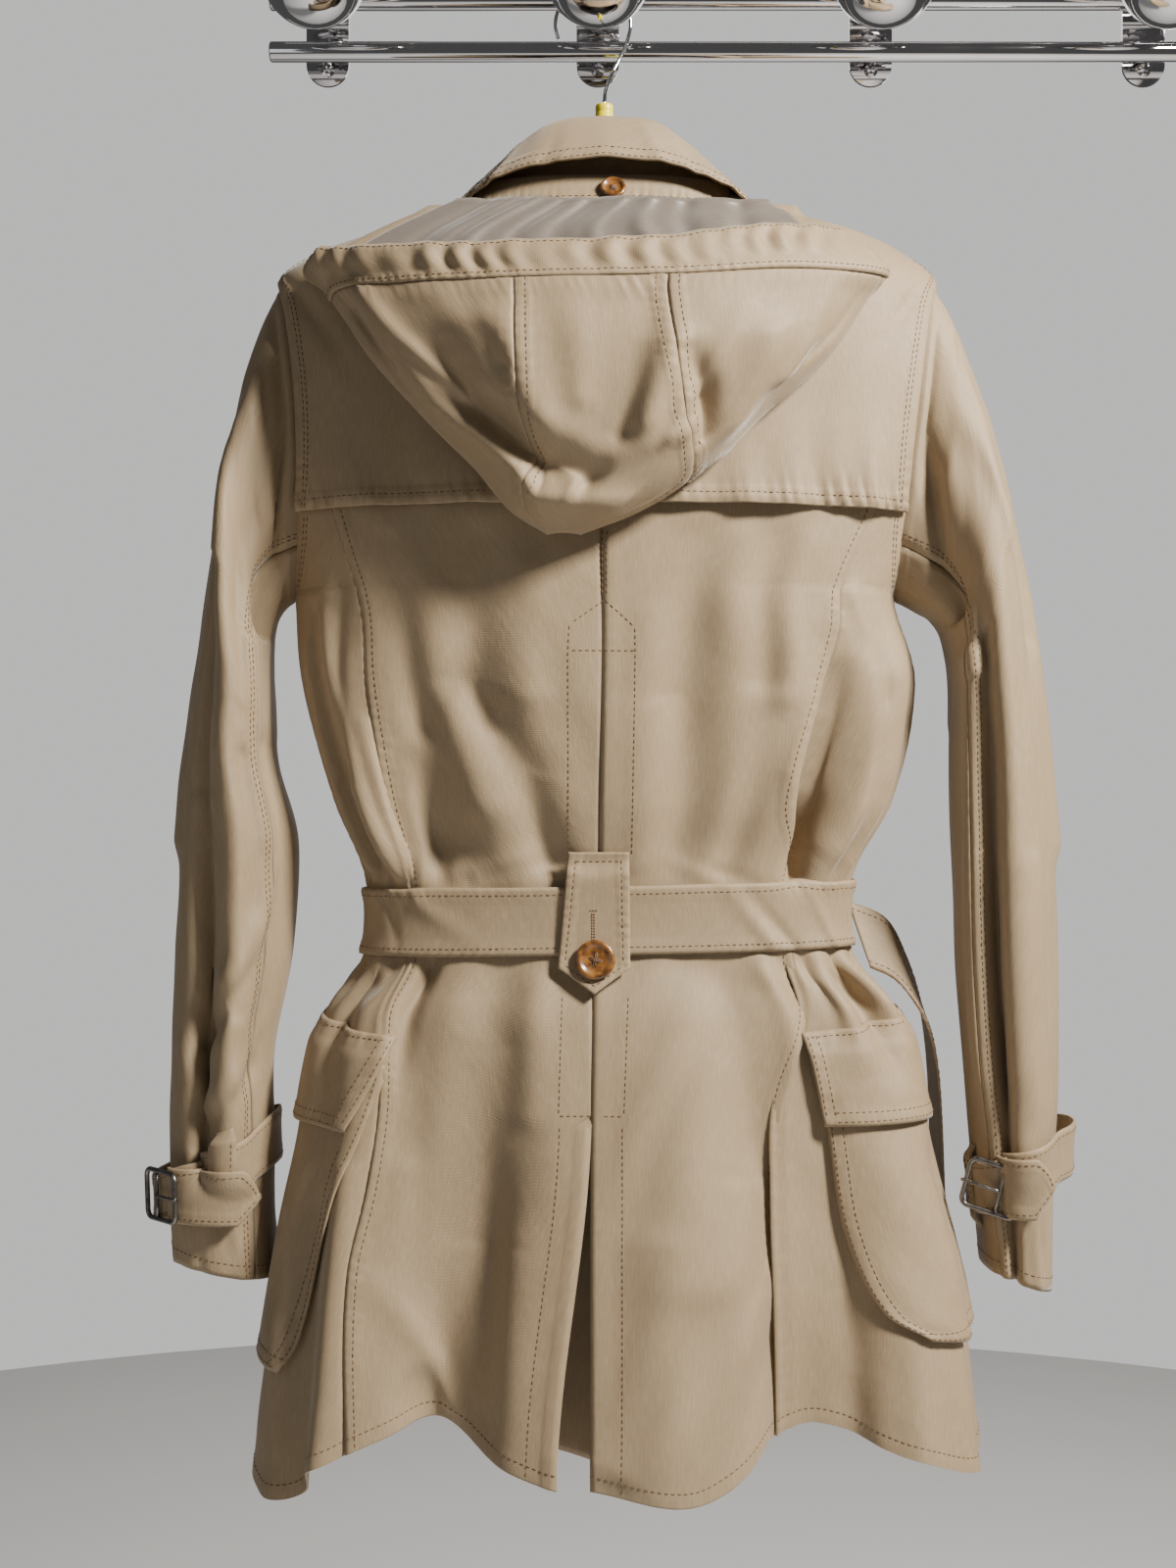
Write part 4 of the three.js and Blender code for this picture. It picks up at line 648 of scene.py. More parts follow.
fine_levels = levels(NECK_Z, 6, -320, 2.6, HEM_Z)
for side in ("left", "right"):
    hand = HANDS[side]
    inner, outer = (("right", "left") if hand < 0 else ("left", "right"))
    # more columns where the left back steps down under the right one
    lap_columns = np.concatenate([np.linspace(0, 0.93, 55), [0.938, 0.944, 0.949, 0.954, 0.96, 0.98, 1]])
    with_lap = lap_columns if hand < 0 else np.linspace(0, 1, 62)
    start = lambda r, hand=hand: 0 * r - (hand < 0) * UNDER_LAP * ease(VENT_Z - 4, VENT_Z + 4, r)

    def under_lap(s, r, hand=hand):
        return -(hand < 0) * 1.5 * ease(0.945, 0.953, s) * ease(VENT_Z - 4, VENT_Z + 4, r)
    fall = panel(side, start, lambda r, side=side: back_edge(side, r))

    def back(s, r, side=side, hand=hand, fall=fall):
        point = fall(s, r)
        t = s if hand > 0 else 1 - s
        point[..., 0] += hand * VENT_SWING[side] * ease(VENT_Z, HEM_Z, r) * (1 - t) ** 3
        return point
    made = cloth(
        f"back_{side}", back, with_lap, fine_levels, rise=under_lap,
        fold=panel_folds(side, start, lambda r, side=side: back_edge(side, r), BACK_CREASES),
        sewn=[(inner, {**SEAM, "size": 0.4}), (outer, SEAM), ("bottom", {**SOFT_EDGE, "size": 0.25})],
        uneven=0.9, seed=3 + hand)
    start = lambda r, side=side: column(BACK_SEAM, side, r) - UNDER_LAP
    end = lambda r, side=side: side_edge(side, r)

    def side_rise(s, r, hand=hand, side=side):
        u = mix(start(r), end(r), s if hand > 0 else 1 - s)
        lap = 1 - ease(-0.003, 0.001, u - column(BACK_SEAM, side, r))
        return -np.maximum(1.7 * lap, 2.4 * ease(-320, -313, r))
    made = cloth(
        f"side_{side}", panel(side, start, end), np.linspace(0, 1, 64), levels(-298, 2.8, HEM_Z), rise=side_rise,
        fold=panel_folds(side, start, end, SIDE_CREASES),
        sewn=[(inner, {**SEAM, "ridge": 0}), (outer, SIDE_SEAM), ("bottom", {**SOFT_EDGE, "size": 0.25})],
        uneven=0.9, seed=8 + hand)
    stitch(f"back_{side}", [row for row in row_along(f"back_{side}", outer, 6) if row[0][2] < -318])
    for away in (7, 9.6):
        rows = row_along(f"side_{side}", outer, away)
        stitch(f"side_{side}", [row for row in rows if ARMPIT_Z + 2 < row[0][2] < -329])
    sew(f"back_{side}", "bottom", 9)
    sew(f"side_{side}", "bottom", 9)

for side in ("left", "right"):
    hand = HANDS[side]
    start = lambda r, side=side: front_edge(side, r)
    end = lambda r: 0 * r + 1 + OVERLAP_U

    def front_rise(s, r, side=side):
        if side == "left":
            return 0 * s
        u = mix(front_edge(side, r), 1 + OVERLAP_U, s)
        return 1.4 * LAYER * ease(1 - 2.6 * OVERLAP_U, 1 - 1.5 * OVERLAP_U, u)
    edge, seam = ("left", "right") if hand < 0 else ("right", "left")
    made = cloth(
        f"front_{side}", panel(side, start, end), np.linspace(0, 1, 52), levels(NECK_Z, 9, HEM_Z),
        rise=front_rise, fold=panel_folds(side, start, end, FRONT_CREASES),
        sewn=[(edge, {**SOFT_EDGE, "size": 0.3}), (seam, SIDE_SEAM), ("bottom", SOFT_EDGE)],
        uneven=0.5, seed=21 + hand)
    sew(f"front_{side}", edge, 8)
    sew(f"front_{side}", "bottom", 9)


def on_backs(corners, name=None):
    """Places on the backs, or on one named piece, under a drawn line of x, z corners."""
    corners = np.array(corners, float)
    run = np.concatenate([[0], np.cumsum(np.linalg.norm(np.diff(corners, axis=0), axis=1))])
    at = np.arange(0, run[-1] + 0.5, 1)
    found = []
    for x, z in zip(np.interp(at, run, corners[:, 0]), np.interp(at, run, corners[:, 1])):
        face = laid[name or ("back_left" if x < 1 else "back_right")]
        j, i = divmod(np.hypot(face["points"][..., 0] - x, face["points"][..., 2] - z).argmin(), face["u"].shape[1])
        point, out = face["points"][j, i], face["out"][j, i]
        y = point[1] - (out[0] * (x - point[0]) + out[2] * (z - point[2])) / out[1]
        found.append((np.array([x, y, z]), out))
    return found


# The vent's two turned edges, then the pleat above it: sewn flat in a pointed box from the middle
# seam to a bar, then in two long lines down to the bar over the vent.
for side, edge in (("left", "right"), ("right", "left")):
    rows = row_along(f"back_{side}", edge, 20)
    stitch("vent", [row for row in rows if row[0][2] < VENT_Z - 2])
for line in (
        [(2.2, -345), (2.2, -390)], [(5.2, -345), (5.2, -390)], [(3.8, -390), (-18.9, -406)],
        [(3.8, -390), (23.3, -407.5)], [(-17.8, -422.6), (23.3, -422.6)],
        [(-18.9, -406), (-19.8, -424), (-19.5, -554)],
        [(23.3, -407.5), (23.6, -424), (21.5, -554)], [(-23.5, -645), (-25.5, -719)], [(19, -645), (16, -719)],
        [(-25.5, -719), (16, -719)]):
    stitch("vent", on_backs(line))

PLEAT_WIDTH, PLEAT_DEPTH = 0.1, 30


def pleat_rise(u, r):
    sunk = PLEAT_DEPTH * ease(VENT_Z, HEM_Z, r) * np.cos(np.clip(u / PLEAT_WIDTH, -1, 1) * math.pi / 2) ** 2
    return -(LAYER + 1.5 + sunk)


def pleat_fold(u, r, across, down):
    return creases(BACK_CREASES, u, r, U_SPAN)


underlay = cloth(
    "pleat_underlay", body, np.linspace(-PLEAT_WIDTH, PLEAT_WIDTH, 44), levels(VENT_Z + 14, 4, -932),
    rise=pleat_rise, fold=pleat_fold, sewn=[("bottom", SOFT_EDGE)], uneven=0.3, seed=31)

# ---------------------------------------------------------------- yoke
# A loose storm yoke of gabardine lies over the shoulders, sewn in at the collar, shoulders and
# armholes. Its hem is gathered by its top-sewing and stands off the backs.

YOKE_CREASES = table(CREASE, [
    (-0.72, -300, -0.6, -331, 9, 0.5, 2.4), (-0.5, -305, -0.42, -331, 8, -0.5, -2.0),
    (-0.34, -300, -0.3, -331, 8, 0.5, 2.2), (0.35, -300, 0.34, -331, 8, 0.4, 2.0),
    (0.55, -295, 0.6, -331, 9, -0.4, -2.0), (0.78, -290, 0.78, -331, 8, 0.4, 1.8),
    (-0.85, -190, -0.7, -240, 10, -2.5, -0.5), (0.85, -190, 0.72, -240, 10, -2.5, -0.5),
])


def yoke_surface(s, r):
    edge = np.where(s < 0, back_share("left", r), back_share("right", r))
    return body(s * (0.5 * edge - 0.006), r)


def yoke_rise(s, r):
    free = ease(-250, YOKE_Z, r) * (4 + 1.2 * np.sin(s * 17 + 1) + 0.6 * np.sin(s * 41 + 1)) * (1 - 0.8 * s**8)
    tip = 1.4 * s**6 * bump_at(r, SHOULDER_Z, 16)
    return tip + mix(CLOTH + 0.6, LAYER + 0.5, ease(-110, -160, r)) + free


yoke = cloth(
    "yoke", yoke_surface, np.linspace(-1, 1, 240), levels(-108, 5, -295, 2, YOKE_Z), rise=yoke_rise,
    fold=lambda s, r, across, down: creases(YOKE_CREASES, s, r, 200), uneven=0.5,
    sewn=[("bottom", {**SEAM, "size": 2.1, "pitch": 9, "reach": 14, "ridge": 0.9}), ("left", {**SEAM, "size": 0.7}),
          ("right", {**SEAM, "size": 0.7})], seed=41)
sew("yoke", "bottom", 7)
for edge in ("left", "right"):
    for away in (7, 9.6):
        sew("yoke", edge, away, 0.18)

# ---------------------------------------------------------------- sleeves
# Two-piece sleeves, an upper and an under one, hang nearly flat from the armholes. Their fronts lie
# towards the wall, and long folds run down from the cap to the cuff.

RING = "t outX outZ inX inZ y0 y1 bow square"
SLEEVES = {
    "left": table(RING, [
        (0, -213, SHOULDER_Z, -204, ARMPIT_Z, -95, -21, 9, 1),
        (0.08, -226, -198, -210, -387, -100, -19, -2, 1),
        (0.16, -238, -240, -215, -393, -106, -17, -9, 0.95),
        (0.25, -247, -292, -219, -402, -111, -15, -8, 0.9),
        (0.34, -256, -352, -221, -420, -114, -14, -4, 0.86),
        (0.43, -265, -420, -220, -452, -115, -14, 0, 0.84),
        (0.52, -274, -486, -217, -495, -114, -14, 0, 0.84),
        (0.61, -280, -552, -203, -548, -112, -15, 0, 0.84),
        (0.7, -284, -622, -206, -618, -109, -17, 0, 0.86),
        (0.8, -287, -695, -219, -692, -106, -19, 0, 0.88),
        (0.9, -288, -758, -219, -766, -104, -20, 0, 0.9),
        (1, -286, -824, -217, -838, -103, -22, 0, 0.9),
    ]),
    "right": table(RING, [
        (0, 225, SHOULDER_Z, 199, ARMPIT_Z, -95, -21, -3, 1),
        (0.08, 238, -195, 207, -387, -100, -19, 6, 1),
        (0.16, 254, -236, 216, -392, -106, -17, 10, 0.95),
        (0.25, 269, -290, 226, -398, -111, -15, 8, 0.9),
        (0.34, 281, -348, 234, -412, -114, -14, 4, 0.86),
        (0.43, 292, -415, 238, -444, -115, -14, 0, 0.84),
        (0.52, 300, -484, 238, -490, -114, -14, 0, 0.84),
        (0.61, 306, -555, 239, -553, -112, -15, 0, 0.84),
        (0.7, 309, -624, 241, -622, -109, -17, 0, 0.86),
        (0.8, 310, -692, 246, -690, -106, -19, 0, 0.88),
        (0.9, 307, -762, 253, -760, -104, -20, 0, 0.9),
        (1, 304, -846, 260, -832, -103, -22, 0, 0.9),
    ]),
}
# a goes round a sleeve: 0 its outer edge, 0.25 its back, 0.5 its inner edge, 0.75 its front
SLEEVE_FOLDS = {
    "left": table(CREASE, [
        (0.1, 0.04, 0.22, 0.028, 9, -4, -7), (0.22, 0.028, 0.36, 0.07, 9, -7, -8),
        (0.36, 0.07, 0.42, 0.3, 11, -8, -12),
        (0.2, 0.1, 0.26, 0.45, 13, 7, 11), (0.26, 0.45, 0.28, 0.9, 11, 11, 9),
        (0.14, 0.16, 0.18, 0.55, 13, -4, -11),
        (0.18, 0.55, 0.215, 0.72, 10, -11, -15), (0.215, 0.72, 0.235, 0.9, 8, -15, -26),
        (0.31, 0.68, 0.31, 0.9, 10, 3, 9),
        (0.36, 0.36, 0.35, 0.6, 11, 5, 3), (0.42, 0.5, 0.36, 0.8, 13, -5, -6),
        (0.85, 0.3, 0.86, 0.9, 20, -5, -9), (0.62, 0.4, 0.6, 0.9, 16, -4, -8),
    ]),
    "right": table(CREASE, [
        (0.14, 0.02, 0.26, 0.026, 8, -4, -7), (0.26, 0.026, 0.36, 0.13, 9, -7, -9),
        (0.36, 0.13, 0.39, 0.3, 10, -9, -12),
        (0.28, 0.1, 0.26, 0.4, 14, 5, 7), (0.26, 0.4, 0.24, 0.9, 13, 7, 8),
        (0.31, 0.38, 0.32, 0.6, 8, -5, -13),
        (0.32, 0.6, 0.305, 0.85, 7, -13, -21), (0.305, 0.85, 0.305, 1.0, 7, -21, -26),
        (0.37, 0.4, 0.38, 0.95, 11, 5, 7), (0.14, 0.3, 0.13, 0.9, 15, -4, -8),
        (0.85, 0.3, 0.86, 0.9, 20, -5, -9), (0.62, 0.4, 0.6, 0.9, 16, -4, -8),
    ]),
}
SLEEVE_CREASES = {
    "left": table(CREASE, [
        (0.17, 0.08, 0.2, 0.3, 8, 1.5, 4), (0.3, 0.12, 0.31, 0.34, 8, -2, -4),
        (0.33, 0.36, 0.31, 0.5, 6, 1, 4), (0.3, 0.5, 0.3, 0.75, 6, -1, -4),
        (0.4, 0.62, 0.27, 0.72, 7, 1, 5), (0.38, 0.68, 0.22, 0.78, 6, -1, -4.5),
        (0.4, 0.76, 0.24, 0.84, 7, 1, 4.5), (0.38, 0.8, 0.2, 0.88, 6, -1, -4),
        (0.14, 0.78, 0.28, 0.87, 6, 1, 3.5), (0.34, 0.84, 0.26, 0.9, 6, 1, 4),
        (0.02, 0.2, 0.03, 0.6, 11, 1, 5), (0.9, 0.5, 0.92, 0.9, 10, 1, 5),
        (0.3, 0.9, 0.32, 1.0, 6, 1, 4), (0.2, 0.92, 0.21, 1.0, 6, -1, -4), (0.1, 0.92, 0.1, 1.0, 6, 1, 4),
        (0.7, 0.2, 0.72, 0.8, 12, 2, 5), (0.55, 0.5, 0.54, 0.95, 9, -2, -5),
    ]),
    "right": table(CREASE, [
        (0.2, 0.06, 0.19, 0.3, 8, 1.5, 4.5), (0.1, 0.1, 0.09, 0.42, 10, -2, -5),
        (0.345, 0.3, 0.35, 0.42, 7, 1, 4), (0.22, 0.3, 0.21, 0.6, 8, -1, -4),
        (0.27, 0.6, 0.27, 0.9, 6, 1, 4), (0.18, 0.6, 0.17, 0.95, 7, 1, 4.5),
        (0.08, 0.5, 0.06, 0.9, 8, -1, -4.5), (0.4, 0.8, 0.38, 1.0, 6, -1, -4),
        (0.02, 0.2, 0.03, 0.6, 11, 1, 5), (0.9, 0.5, 0.92, 0.9, 10, 1, 5), (0.24, 0.88, 0.2, 1.0, 6, 1, 4),
        (0.7, 0.2, 0.72, 0.8, 12, 2, 5), (0.55, 0.5, 0.54, 0.95, 9, -2, -5),
    ]),
}
SLEEVE_AROUND, SLEEVE_LENGTH = 300, 690


def cuff_calm(t):
    """The strap near the cuff presses the folds flat."""
    return 1 - 0.6 * ease(0.8, 0.87, t)


def sleeve_creases(rows, side, a, t):
    return creases(rows[side], np.where(a < 0, a + 1, a), t, SLEEVE_AROUND, SLEEVE_LENGTH)


def sleeve(side):
    rows, hand = SLEEVES[side], HANDS[side]

    def surface(a, t):
        at = lambda name: column(rows, name, t)
        angle = 2 * math.pi * a
        across, through = power(np.cos(angle), at("square")), power(np.sin(angle), at("square"))
        x = mix(at("inX"), at("outX"), (across + 1) / 2) + at("bow") * np.sin(angle) ** 2
        y = mix(at("y1"), at("y0"), (through + 1) / 2)
        z = mix(at("inZ"), at("outZ"), (across + 1) / 2)
        tuck = 1 - ease(0, 0.011, t)
        x = x - hand * 3.5 * tuck
        y = y - (y - ARMHOLE_Y) * 0.06 * tuck
        height = sleeve_creases(SLEEVE_FOLDS, side, a, t) * ease(0.004, 0.05, t) * cuff_calm(t)
        out = np.stack([hand * np.cos(angle), -np.sin(angle), 0 * angle], -1)
        return np.stack([x, y, z], -1) + out * height[..., None]
    return surface


UNDER_BACK, UNDER_FRONT, SLEEVE_GAP = 0.37, 0.66, 0.0008
sleeve_steps = np.linspace(0, 1, 190)


def sleeve_fold(side):
    def fold(a, t, across, down):
        return sleeve_creases(SLEEVE_CREASES, side, a, t) * ease(0.02, 0.1, t) * cuff_calm(t)
    return fold


for side in ("left", "right"):
    turned = side == "right"
    cap = {**SEAM, "size": 0.7, "pitch": 11, "reach": 14}
    for part, begin, end, count, away in (
            ("upper", UNDER_FRONT - 1, UNDER_BACK, 80, "right"), ("under", UNDER_BACK, UNDER_FRONT, 28, "left")):
        made = cloth(
            f"sleeve_{side}_{part}", sleeve(side), np.linspace(begin + SLEEVE_GAP, end - SLEEVE_GAP, count),
            sleeve_steps, fold=sleeve_fold(side), uneven=0.6, turned=turned, seed=50 + 3 * HANDS[side] + count,
            sewn=[("top", cap), (away, SEAM if part == "upper" else SIDE_SEAM), ("bottom", SOFT_EDGE)])
        flat, area = ((0.22, 0.69), 0.112) if part == "upper" else ((0.11, 0.47), 0.039)
        sew(f"sleeve_{side}_{part}", "bottom", 9)
    for away in (5, 7.6):
        sew(f"sleeve_{side}_upper", "right", away)

# ---------------------------------------------------------------- belt
# A double-layer belt of the same cloth, top-sewn along both edges, draws the waist in. A pointed tab
# at the middle of the back holds it, and its free end hangs beside the right hip.

BELT_RISE = LAYER + 1
BELT_EDGE = {"size": 0.95, "pitch": 7, "reach": 8, "ridge": 0.5, "row": 5}
BELT_CREASES = table(CREASE, [
    (0.14, -0.5, 0.22, 0.4, 6, 0.5, 2.2), (0.17, -0.45, 0.26, 0.45, 5, -0.5, -1.8),
    (0.29, -0.4, 0.36, 0.45, 6, 0.5, 2.0), (-0.15, 0.3, -0.26, -0.3, 7, 0.4, 1.8),
    (-0.3, 0.4, -0.35, -0.4, 6, -0.4, -1.8), (0.41, -0.4, 0.44, 0.4, 6, 0.5, 2.0),
])


def belt_surface(u, v):
    return body(u, BELT_Z + 3 * np.sin(u * math.pi) - BELT_WIDTH * v)


def belt_rise(u, v):
    return BELT_RISE + 3.4 * ease(0.8, 0.87, np.abs(u)) + 0 * v


def crowded(start, end, n):
    """Values of u, closer together where the section turns round its edge at 0.5."""
    u = np.linspace(start, end, n)
    return u + 0.65 * np.sin(2 * math.pi * u) / (2 * math.pi)


belt = cloth(
    "belt", belt_surface, crowded(-1, 1, 520), np.linspace(-0.5, 0.5, 19), rise=belt_rise, ring=True,
    fold=lambda u, v, across, down: creases(BELT_CREASES, u, v, U_SPAN, BELT_WIDTH), uneven=0.25, thick=1.5,
    sewn=[("top", BELT_EDGE), ("bottom", BELT_EDGE)], seed=61)
sew("belt", "top", 5)
sew("belt", "bottom", 5)

TAIL = table("t x0 y0 z0 x1 y1 z1", [
    (0, 169.9, -55, -588, 183, -70, -632), (0.12, 196, -52, -600, 198, -72, -639),
    (0.24, 211, -47, -627, 210, -78, -652), (0.36, 221, -40, -658, 221, -78, -672),
    (0.5, 228, -28, -694, 229, -68, -702), (0.65, 232, -18, -737, 233, -60, -741),
    (0.8, 233, -11, -782, 236, -52, -785), (1, 233, -8, -838, 240, -46, -842),
])


def tail_surface(s, t):
    edges = [np.stack([column(TAIL, axis + n, t) for axis in "xyz"], -1) for n in "01"]
    return mix(edges[1], edges[0], s[..., None])


tail = cloth(
    "belt_tail", tail_surface, np.linspace(0, 1, 18), np.linspace(0, 1, 90), uneven=0.4, thick=1.5,
    sewn=[("left", BELT_EDGE), ("right", BELT_EDGE)], seed=63)
sew("belt_tail", "left", 5)
sew("belt_tail", "right", 5)

TAB_TOP, TAB_CORNER, TAB_TIP = -552, -629, -646
TAB_RISE = BELT_RISE + 2 * CLOTH + 1.0
TAB_U = 560  # millimetres across the back for one u


def tab_surface(s, t):
    z = mix(TAB_TOP, mix(TAB_TIP, TAB_CORNER, np.abs(s)), t)
    x = s * mix(19.5, 23, t) - 3 * t
    return np.stack([x, tube(BODY, x / TAB_U, z)[0][..., 1], z], -1)


def tab_rise(s, t):
    return mix(LAYER, TAB_RISE, ease(0.05, 0.2, t))


tab = cloth(
    "belt_tab", tab_surface, np.linspace(-1, 1, 35), np.linspace(0, 1, 60), rise=tab_rise, uneven=0.3, thick=1.5,
    sewn=[(edge, {**BELT_EDGE, "size": 0.5}) for edge in ("left", "right", "bottom")], seed=65)
for edge in ("left", "right", "bottom"):
    stitch("belt_tab", row_along("belt_tab", edge, 5, *((0.05, 0.94) if edge != "bottom" else (0.1, 0.9))))
sew("belt_tab", "top", 6, 0.12, 0.88)
for line in ([(-4.4, -591), (-4.2, -611)], [(-2.9, -591), (-2.7, -611)], [(-6.6, -590), (-0.6, -590)]):
    stitch("belt_tab", on_backs(line, "belt_tab"), 1.6, 0.2, 1)

# ---------------------------------------------------------------- pockets
# A bag of gabardine is sewn on each side of the skirt, and a flap over its mouth. Both go round the
# side seam, with two rows of thread inside their edges.

POCKETS = {
    "left": (table("t back front z", [
        (0, -0.245, -0.58, -690), (0.2, -0.262, -0.585, -727), (0.6, -0.303, -0.59, -797),
        (0.9, -0.345, -0.59, -858), (1, -0.375, -0.56, -874)]),
        table("t back front z tilt", [(0, -0.233, -0.575, -672, 16), (1, -0.286, -0.585, -733, 6)]), 1.9),
    "right": (table("t back front z", [
        (0, 0.226, 0.58, -690), (0.2, 0.236, 0.585, -730), (0.6, 0.239, 0.59, -800),
        (0.9, 0.27, 0.59, -852), (1, 0.32, 0.56, -866)]),
        table("t back front z tilt", [(0, 0.212, 0.575, -670, 14), (1, 0.232, 0.585, -730, 0)]), 2.5),
}
POCKET_EDGE = {"size": 0.5, "pitch": 9, "reach": 10, "ridge": 0.6, "row": 6}


def pocket_place(rows, hand, s, t):
    share = s if hand > 0 else 1 - s
    u = mix(column(rows, "back", t), column(rows, "front", t), share)
    return u, column(rows, "z", t) + (column(rows, "tilt", t) * share if "tilt" in rows else 0)


def pocket_fold(rows, hand):
    """The folds of the panels under a pocket, which it follows."""
    def fold(s, t, across, down):
        u, r = pocket_place(rows, hand, s, t)
        return np.where(np.abs(u) < 0.5, creases(SIDE_CREASES, u, r, U_SPAN), 0)
    return fold


def pocket_surface(rows, hand):
    return lambda s, t: body(*pocket_place(rows, hand, s, t))


for side, (bag, flap, flap_rise) in POCKETS.items():
    hand = HANDS[side]
    bag_rise = lambda s, t: LAYER * 1.5 + 2 * ease(0.6, 1, t)
    made = cloth(
        f"pocket_{side}", pocket_surface(bag, hand), np.linspace(0, 1, 80), np.linspace(0, 1, 70), rise=bag_rise,
        fold=pocket_fold(bag, hand),
        sewn=[(edge, POCKET_EDGE) for edge in ("left", "right", "bottom")], uneven=0.7, seed=70 + hand)
    lift = lambda s, t, rise=flap_rise: mix(1.7, LAYER * 1.5 + rise + 2 * t, ease(0, 0.28, t))
    made = cloth(
        f"pocket_flap_{side}", pocket_surface(flap, hand), np.linspace(0, 1, 80), np.linspace(0, 1, 28), rise=lift,
        fold=pocket_fold(flap, hand),
        sewn=[(edge, POCKET_EDGE) for edge in ("left", "right", "bottom", "top")], uneven=0.4, seed=76 + hand)
    for edge in ("left", "right", "bottom"):
        for away in (3, 10):
            sew(f"pocket_{side}", edge, away, 0.02, 0.98)
    for edge in ("left", "right", "bottom"):
        for away in (3, 9):
            sew(f"pocket_flap_{side}", edge, away, 0.05, 0.95)
    sew(f"pocket_flap_{side}", "top", 4, 0.03, 0.97)

# ---------------------------------------------------------------- hood
# A three-piece hood buttons on under the collar and hangs folded down the back. A gathered band edges
# it, a satin lining shows above the band, and its under half lies on the yoke.

HOOD = table("z left centre right back side front", [
    (-129, -112, 2, 130, -130, -100, -108.5), (-165, -187, 2, 158, -172, -111, -123),
    (-188, -175, 2, 187, -181, -118, -130), (-203, -166, 1, 174, -187, -122, -134),
    (-235, -146, 0, 147, -193, -131, -139),
    (-275, -111, -3, 103, -190, -139, -143), (-307, -80, -5, 70, -182, -143, -146),
    (-335, -56, -18, 26, -168, -146, -148.5), (-350, -32, -23, -12, -156, -147, -149),
])
HOOD_TOP, HOOD_BAND, HOOD_GAP = -165, 27, 0.0006
HOOD_EDGE = table("u drop", [
    (-0.5, -5), (-0.42, 2), (-0.27, -2), (-0.1, -5), (0.07, -2), (0.2, 8), (0.35, 14), (0.5, 18),
])
HOOD_FOLDS = table(CREASE, [
    (-0.23, -240, -0.235, -272, 12, -4, -11), (-0.235, -272, -0.13, -305, 13, -11, -14),
    (-0.13, -305, 0.02, -318, 11, -14, -8), (-0.3, -285, -0.15, -332, 10, 5, 8), (-0.15, -332, 0.2, -335, 9, 8, 5),
    (0.12, -242, 0.19, -266, 6, -3, -11), (0.19, -266, 0.27, -290, 6, -11, -5), (0.09, -240, 0.1, -285, 10, 4, 6),
    (0.24, -230, 0.33, -280, 13, 5, 6), (-0.13, -225, -0.1, -285, 13, 5, 7), (0.02, -215, 0.03, -290, 15, -3, -5),
    (-0.33, -200, -0.33, -270, 11, 4, 5), (-0.4, -205, -0.41, -250, 8, -4, -3),
])
HOOD_CREASES = table(CREASE, [
    (-0.34, -200, -0.25, -262, 8, 0.8, 2.2), (-0.16, -200, -0.14, -250, 9, -0.6, -1.8),
    (-0.03, -200, -0.02, -270, 9, 0.5, 1.5), (0.05, -200, 0.06, -290, 8, -0.5, -1.6),
    (0.3, -205, 0.34, -250, 8, 0.6, 2.0), (0.17, -215, 0.16, -290, 7, 0.5, 1.6),
    (-0.2, -285, -0.02, -322, 8, 0.6, 2.6), (0.05, -305, 0.2, -290, 8, 0.5, 2.0),
    (-0.42, -205, -0.38, -240, 7, -0.5, -1.6), (0.4, -205, 0.37, -235, 7, -0.5, -1.6),
])


def hood_level(u, r):
    return r + column(HOOD_EDGE, "drop", u) * ease(-235, HOOD_TOP, r)


def hood_calm(u, r):
    return ease(0.5, 0.4, np.abs(u)) * ease(-350, -330, r) * ease(HOOD_TOP, HOOD_TOP - 40, r)


def hood_surface(u, r):
    angle = u * math.pi
    centre, side = column(HOOD, "centre", r), column(HOOD, "side", r)
    half = np.abs(np.where(u < 0, column(HOOD, "left", r), column(HOOD, "right", r)) - centre)
    depth = column(HOOD, "back", r) - side
    x = centre + half * power(np.sin(angle), 0.92)
    y = side + depth * power(np.maximum(np.cos(angle), 0), 1.25)
    out = np.stack([np.sin(angle) / half, -np.cos(angle) / np.abs(depth), 0 * x], -1)
    out /= np.linalg.norm(out, axis=-1, keepdims=True)
    point = np.stack([x, y, hood_level(u, r) + 0 * x], -1)
    return point + out * (creases(HOOD_FOLDS, u, r, 300) * hood_calm(u, r))[..., None]


def hood_fold(u, r, across, down):
    return 1.8 * creases(HOOD_CREASES, u, r, 380) * hood_calm(u, r)


HOOD_SEAMS = table("z left right", [
    (HOOD_TOP, -0.09, 0.055), (-199, -0.093, 0.065), (-236, -0.105, 0.093), (-260, -0.118, 0.13),
    (-284, -0.135, 0.19), (-305, -0.15, 0.3), (-317, -0.18, 0.43), (-324, -0.2, 0.478),
    (-335, -0.25, 0.485), (-350, -0.32, 0.487),
])
band_z = HOOD_TOP - HOOD_BAND


def hood_piece(begin, end):
    """One panel of the hood and its folds, from one seam to the next; the outer edges lie at 0.5."""
    def place(s, r):
        ends = [column(HOOD_SEAMS, e, r) if isinstance(e, str) else e + 0 * r for e in (begin, end)]
        return mix(ends[0] + HOOD_GAP, ends[1] - HOOD_GAP, s)

    def fold(s, r, across, down):
        return hood_fold(place(s, r), r, across, down)
    return lambda s, r: hood_surface(place(s, r), r), fold


def hood_still(s, r):
    return ease(-351, -328, r)


